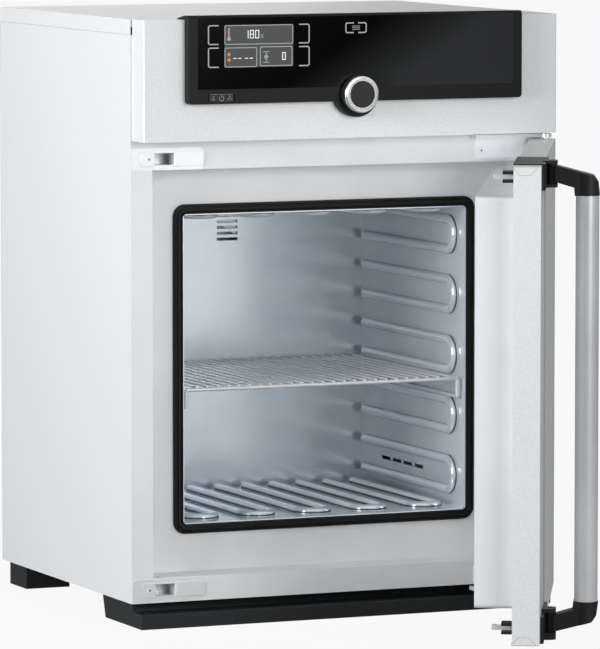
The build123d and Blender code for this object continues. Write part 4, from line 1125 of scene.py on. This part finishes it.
@dataclass
class Fasteners:
    """Strike faces, screw sockets, rivets and drain holes.

    Attributes:
        kit: Materials and the way to add pieces.
        latch_levels: Heights of the upper and the lower strike.
        strike_screws: Places of a strike's two screws along x.
        strike_head_y: Depth of the heads of those screws.
        strike_front: Depth of the strikes' front.
        face_height: Height of a strike's raised faces.
        free_face: Middle, width, corner radius, thickness and chamfer of the face at the free side.
        catch_face: The same of the face behind the catch.
        hinge_screw_x: Place of the screw by the hinge brackets.
        hinge_head_y: Depth of its head.
        hinge_screw_drop: How far the lower one sits under the lower strike's middle.
        socket: Radius and thickness of a hexagon socket's shade.
        back_y: Depth of the back panel.
        back_screws_x: Places of the back's screws along x.
        back_screws_z: Their heights.
        back_head: Radius, height and chamfer of their heads.
        ledge_z: Height of the recess floor.
        rivet_at: Place of the rivet on the recess floor.
        rivet_head: Radius, height and chamfer of its head.
        drains_at: Places of the drain holes in the recess floor.
        drain: Radius and thickness of a drain hole's shade.
        head_steps: Points round a rivet's or a back screw's head.
        drain_steps: Points round a drain hole.
    """
    kit: Kit
    latch_levels: tuple[float, float] = (605.2, 50.6)
    strike_screws: tuple[float, float] = (-268.0, -201.0)
    strike_head_y: float = -2.0
    strike_front: float = -1.2
    face_height: float = 18.4
    free_face: tuple[float, float, float, float, float] = (-270.0, 19.0, 2.0, 0.5, 0.2)
    catch_face: tuple[float, float, float, float, float] = (-212.6, 40.0, 1.6, 0.9, 0.4)
    hinge_screw_x: float = 200.0
    hinge_head_y: float = -1.8
    hinge_screw_drop: float = 3.0
    socket: tuple[float, float] = (1.6, 0.04)
    back_y: float = 473.8
    back_screws_x: tuple[float, ...] = (-284.0, 284.0)
    back_screws_z: tuple[float, ...] = (60.0, 240.0, 420.0, 600.0, 745.0)
    back_head: tuple[float, float, float] = (3.2, 1.6, 0.8)
    ledge_z: float = 65.6
    rivet_at: tuple[float, float] = (-246.0, 17.2)
    rivet_head: tuple[float, float, float] = (2.2, 1.2, 0.7)
    drains_at: tuple[tuple[float, float], ...] = ((-251.0, 15.2), (-240.7, 19.1))
    drain: tuple[float, float] = (1.5, 0.06)
    head_steps: int = 20
    drain_steps: int = 16

    def strike_faces(self) -> None:
        """Adds the raised faces beside the latch slots, a thicker one behind the catch."""
        faces = []
        for z in self.latch_levels:
            for x, width, corner, thickness, chamfer in (self.free_face, self.catch_face):
                outline = rounded_box(width, self.face_height, corner)
                centre = Vector((x, self.strike_front, z))
                faces.append(plate(outline, centre, Facing.FRONT, thickness, chamfer))
        self.kit.add("strike_faces", joined(faces), "bright_steel")

    def screw_sockets(self) -> None:
        """Adds painted shade for the sockets in the heads of the front frame's screws: flat matt grey
        hexagons.
        """
        radius, thickness = self.socket
        hexagon = circle(radius, 6)
        places = [Vector((x, self.strike_head_y, z)) for z in self.latch_levels for x in self.strike_screws]
        top, bottom = self.latch_levels
        places += [Vector((self.hinge_screw_x, self.hinge_head_y, z))
                   for z in (top, bottom - self.hinge_screw_drop)]
        sockets = [plate(hexagon, place, Facing.FRONT, thickness) for place in places]
        self.kit.add("screw_sockets", joined(sockets), "seam")

    def rivets(self) -> None:
        """Adds the rivet, flat dark discs of painted shade for the drain holes of the recess floor, and the
        screws of the back.
        """
        radius, height, chamfer = self.rivet_head
        rivet = Vector((*self.rivet_at, self.ledge_z))
        domes = [plate(circle(radius, self.head_steps), rivet, Facing.UP, height, chamfer)]
        radius, height, chamfer = self.back_head
        for x in self.back_screws_x:
            for z in self.back_screws_z:
                screw = Vector((x, self.back_y, z))
                domes.append(plate(circle(radius, self.head_steps), screw, Facing.BACK, height, chamfer))
        self.kit.add("rivets_and_screws", joined(domes), "bright_steel")
        # Painted shade: each drain hole is a flat disc of the black seal rubber
        radius, thickness = self.drain
        outline = circle(radius, self.drain_steps)
        drains = [plate(outline, Vector((*place, self.ledge_z)), Facing.UP, thickness)
                  for place in self.drains_at]
        self.kit.add("ledge_drains", joined(drains), "gasket_rubber")

    def build(self) -> None:
        """Adds every fastener."""
        self.strike_faces()
        self.screw_sockets()
        self.rivets()


@dataclass(frozen=True)
class Lamp:
    """Square area lamp, in metres and watts.

    Attributes:
        name: Its name.
        place: Where it stands.
        aim: The point it faces.
        size: Length of its side.
        power: Its power.
    """
    name: str
    place: tuple[float, float, float]
    aim: tuple[float, float, float]
    size: float
    power: float

    def add(self) -> None:
        """Adds the lamp to the scene."""
        data = bpy.data.lights.new(self.name, "AREA")
        data.size = self.size
        data.energy = self.power
        lamp = bpy.data.objects.new(self.name, data)
        lamp.location = self.place
        lamp.rotation_euler = (Vector(self.aim) - Vector(self.place)).to_track_quat("-Z", "Y").to_euler()
        bpy.context.scene.collection.objects.link(lamp)


@dataclass
class Studio:
    """Floor, world, lamps and camera. Sizes are in metres.

    Attributes:
        floor_radius: Radius of the floor, wide enough to reach behind the oven in every view.
        floor_steps: Points round the floor.
        floor_drop: How far the floor lies under the feet.
        floor_colour: Screen colour of the floor.
        white_share: How much of the floor's look is plain white where the camera sees it.
        room_light: Strength of the room light on matt surfaces.
        gloss_share: Place of the room light in reflections between that and white.
        film_height: Height of the photograph in pixels.
        focal_pixels: Focal length of the camera in those pixels.
        sensor: Width of the sensor in millimetres.
        far_clip: How far the camera sees.
        camera_place: Where the camera stands.
        camera_look: The way it looks.
        lamps: The lamps.
    """
    floor_radius: float = 60.0
    floor_steps: int = 96
    floor_drop: float = 0.0005
    floor_colour: str = "a2a3a4"
    white_share: float = 0.93
    room_light: float = 0.27
    gloss_share: float = 0.6
    film_height: int = 649
    focal_pixels: float = 5769.4
    sensor: float = 36.0
    far_clip: float = 200.0
    camera_place: tuple[float, float, float] = (-3.00427, -6.82078, 1.07276)
    camera_look: tuple[float, float, float] = (0.39490, 0.91410, -0.09203)
    lamps: tuple[Lamp, ...] = (
        Lamp("key", (-2.8, -0.6, 1.05), (0.0, 0.1, 1.9), 1.4, 84.0),
        Lamp("front", (0.6, -4.0, 1.3), (0.1, 0.0, 0.8), 1.4, 51.0),
        Lamp("back", (0.8, 3.8, 1.1), (0.0, 0.3, 0.5), 1.5, 20.0))

    def seen(self, tree: bpy.types.NodeTree) -> tuple[bpy.types.Node, bpy.types.NodeSocket]:
        """Tells the camera's and the see-through rays from the others.

        Args:
            tree: The node tree.

        Returns:
            The light path node and a value of 1 on those rays.
        """
        path = add_node(tree, "ShaderNodeLightPath")
        seen = add_node(tree, "ShaderNodeMath", {"operation": "MAXIMUM"},
                        links={0: path.outputs["Is Camera Ray"], 1: path.outputs["Is Transmission Ray"]})
        return path, seen.outputs[0]

    def floor(self) -> None:
        """Adds the pale floor: nearly white to the camera, with the oven's soft shadow on it."""
        mesh = bmesh.new()
        bmesh.ops.create_circle(mesh, cap_ends=True, segments=self.floor_steps, radius=self.floor_radius)
        data = bpy.data.meshes.new("floor")
        mesh.to_mesh(data)
        mesh.free()
        floor = bpy.data.objects.new("floor", data)
        floor.location.z = -self.floor_drop
        bpy.context.scene.collection.objects.link(floor)
        material = bpy.data.materials.new("Pale studio floor")
        material.use_nodes = True
        tree = material.node_tree
        tree.nodes.clear()
        matt = add_node(tree, "ShaderNodeBsdfDiffuse", values={"Color": srgb(self.floor_colour)})
        white = add_node(tree, "ShaderNodeEmission", values={"Color": srgb("ffffff"), "Strength": 1.0})
        seen = self.seen(tree)[1]
        share = add_node(tree, "ShaderNodeMath", {"operation": "MULTIPLY"}, {1: self.white_share},
                         {0: seen})
        mix = add_node(tree, "ShaderNodeMixShader",
                       links={0: share.outputs[0], 1: matt.outputs[0], 2: white.outputs[0]})
        add_node(tree, "ShaderNodeOutputMaterial", links={"Surface": mix.outputs[0]})
        data.materials.append(material)

    def world(self) -> None:
        """Adds the soft room light, white where the camera sees it and brighter in reflections."""
        world = bpy.data.worlds.new("Studio world")
        bpy.context.scene.world = world
        world.use_nodes = True
        tree = world.node_tree
        tree.nodes.clear()
        path, seen = self.seen(tree)
        gloss = add_node(tree, "ShaderNodeMath", {"operation": "MULTIPLY"}, {1: self.gloss_share},
                         {0: path.outputs["Is Glossy Ray"]})
        most = add_node(tree, "ShaderNodeMath", {"operation": "MAXIMUM"},
                        links={0: seen, 1: gloss.outputs[0]})
        strength = add_node(tree, "ShaderNodeMapRange", values={"To Min": self.room_light, "To Max": 1.0},
                            links={"Value": most.outputs[0]})
        light = add_node(tree, "ShaderNodeBackground", values={"Color": srgb("ffffff")},
                         links={"Strength": strength.outputs["Result"]})
        add_node(tree, "ShaderNodeOutputWorld", links={"Surface": light.outputs[0]})

    def camera(self) -> None:
        """Adds the camera at the photograph's place: far off, a little to the left and above."""
        data = bpy.data.cameras.new("camera")
        data.sensor_width = self.sensor
        data.lens = self.focal_pixels / self.film_height * self.sensor
        data.clip_end = self.far_clip
        camera = bpy.data.objects.new("camera", data)
        camera.location = self.camera_place
        camera.rotation_euler = Vector(self.camera_look).to_track_quat("-Z", "Y").to_euler()
        bpy.context.scene.collection.objects.link(camera)
        bpy.context.scene.camera = camera

    def build(self) -> None:
        """Adds the stage."""
        self.floor()
        self.world()
        for lamp in self.lamps:
            lamp.add()
        self.camera()


def dress_nodes(materials: dict[str, bpy.types.Material]) -> None:
    """Gives each CAD node the material of its slot, or its own where it has one.

    Args:
        materials: Materials by slot.
    """
    own = {}
    for nodes, finish in NODE_FINISHES.items():
        material = finish.material()
        own.update({name: material for name in nodes})
    slots = {entry["node"]: entry["material_slot"] for entry in frame["record"]["subparts"]}
    for name, node in frame["nodes"].items():
        material = own.get(name, materials[slots[name]])
        for slot in node.material_slots:
            slot.material = material
        log.info("%s takes %s", name, material.name)


def main() -> None:
    """Builds the scene in order: finishes, pieces and stage."""
    bpy.context.scene.view_settings.view_transform = "Standard"
    materials = {slot: finish.material() for slot, finish in SLOT_FINISHES.items()}
    dress_nodes(materials)
    materials |= {name: finish.material() for name, finish in PRINT_FINISHES.items()}
    kit = Kit(materials)
    for assembly in (ControlPanel(kit), DoorFolds(kit), DoorSeal(kit), Fasteners(kit), Studio()):
        log.info("building %s", type(assembly).__name__)
        assembly.build()


if __name__ == "__main__":
    main()
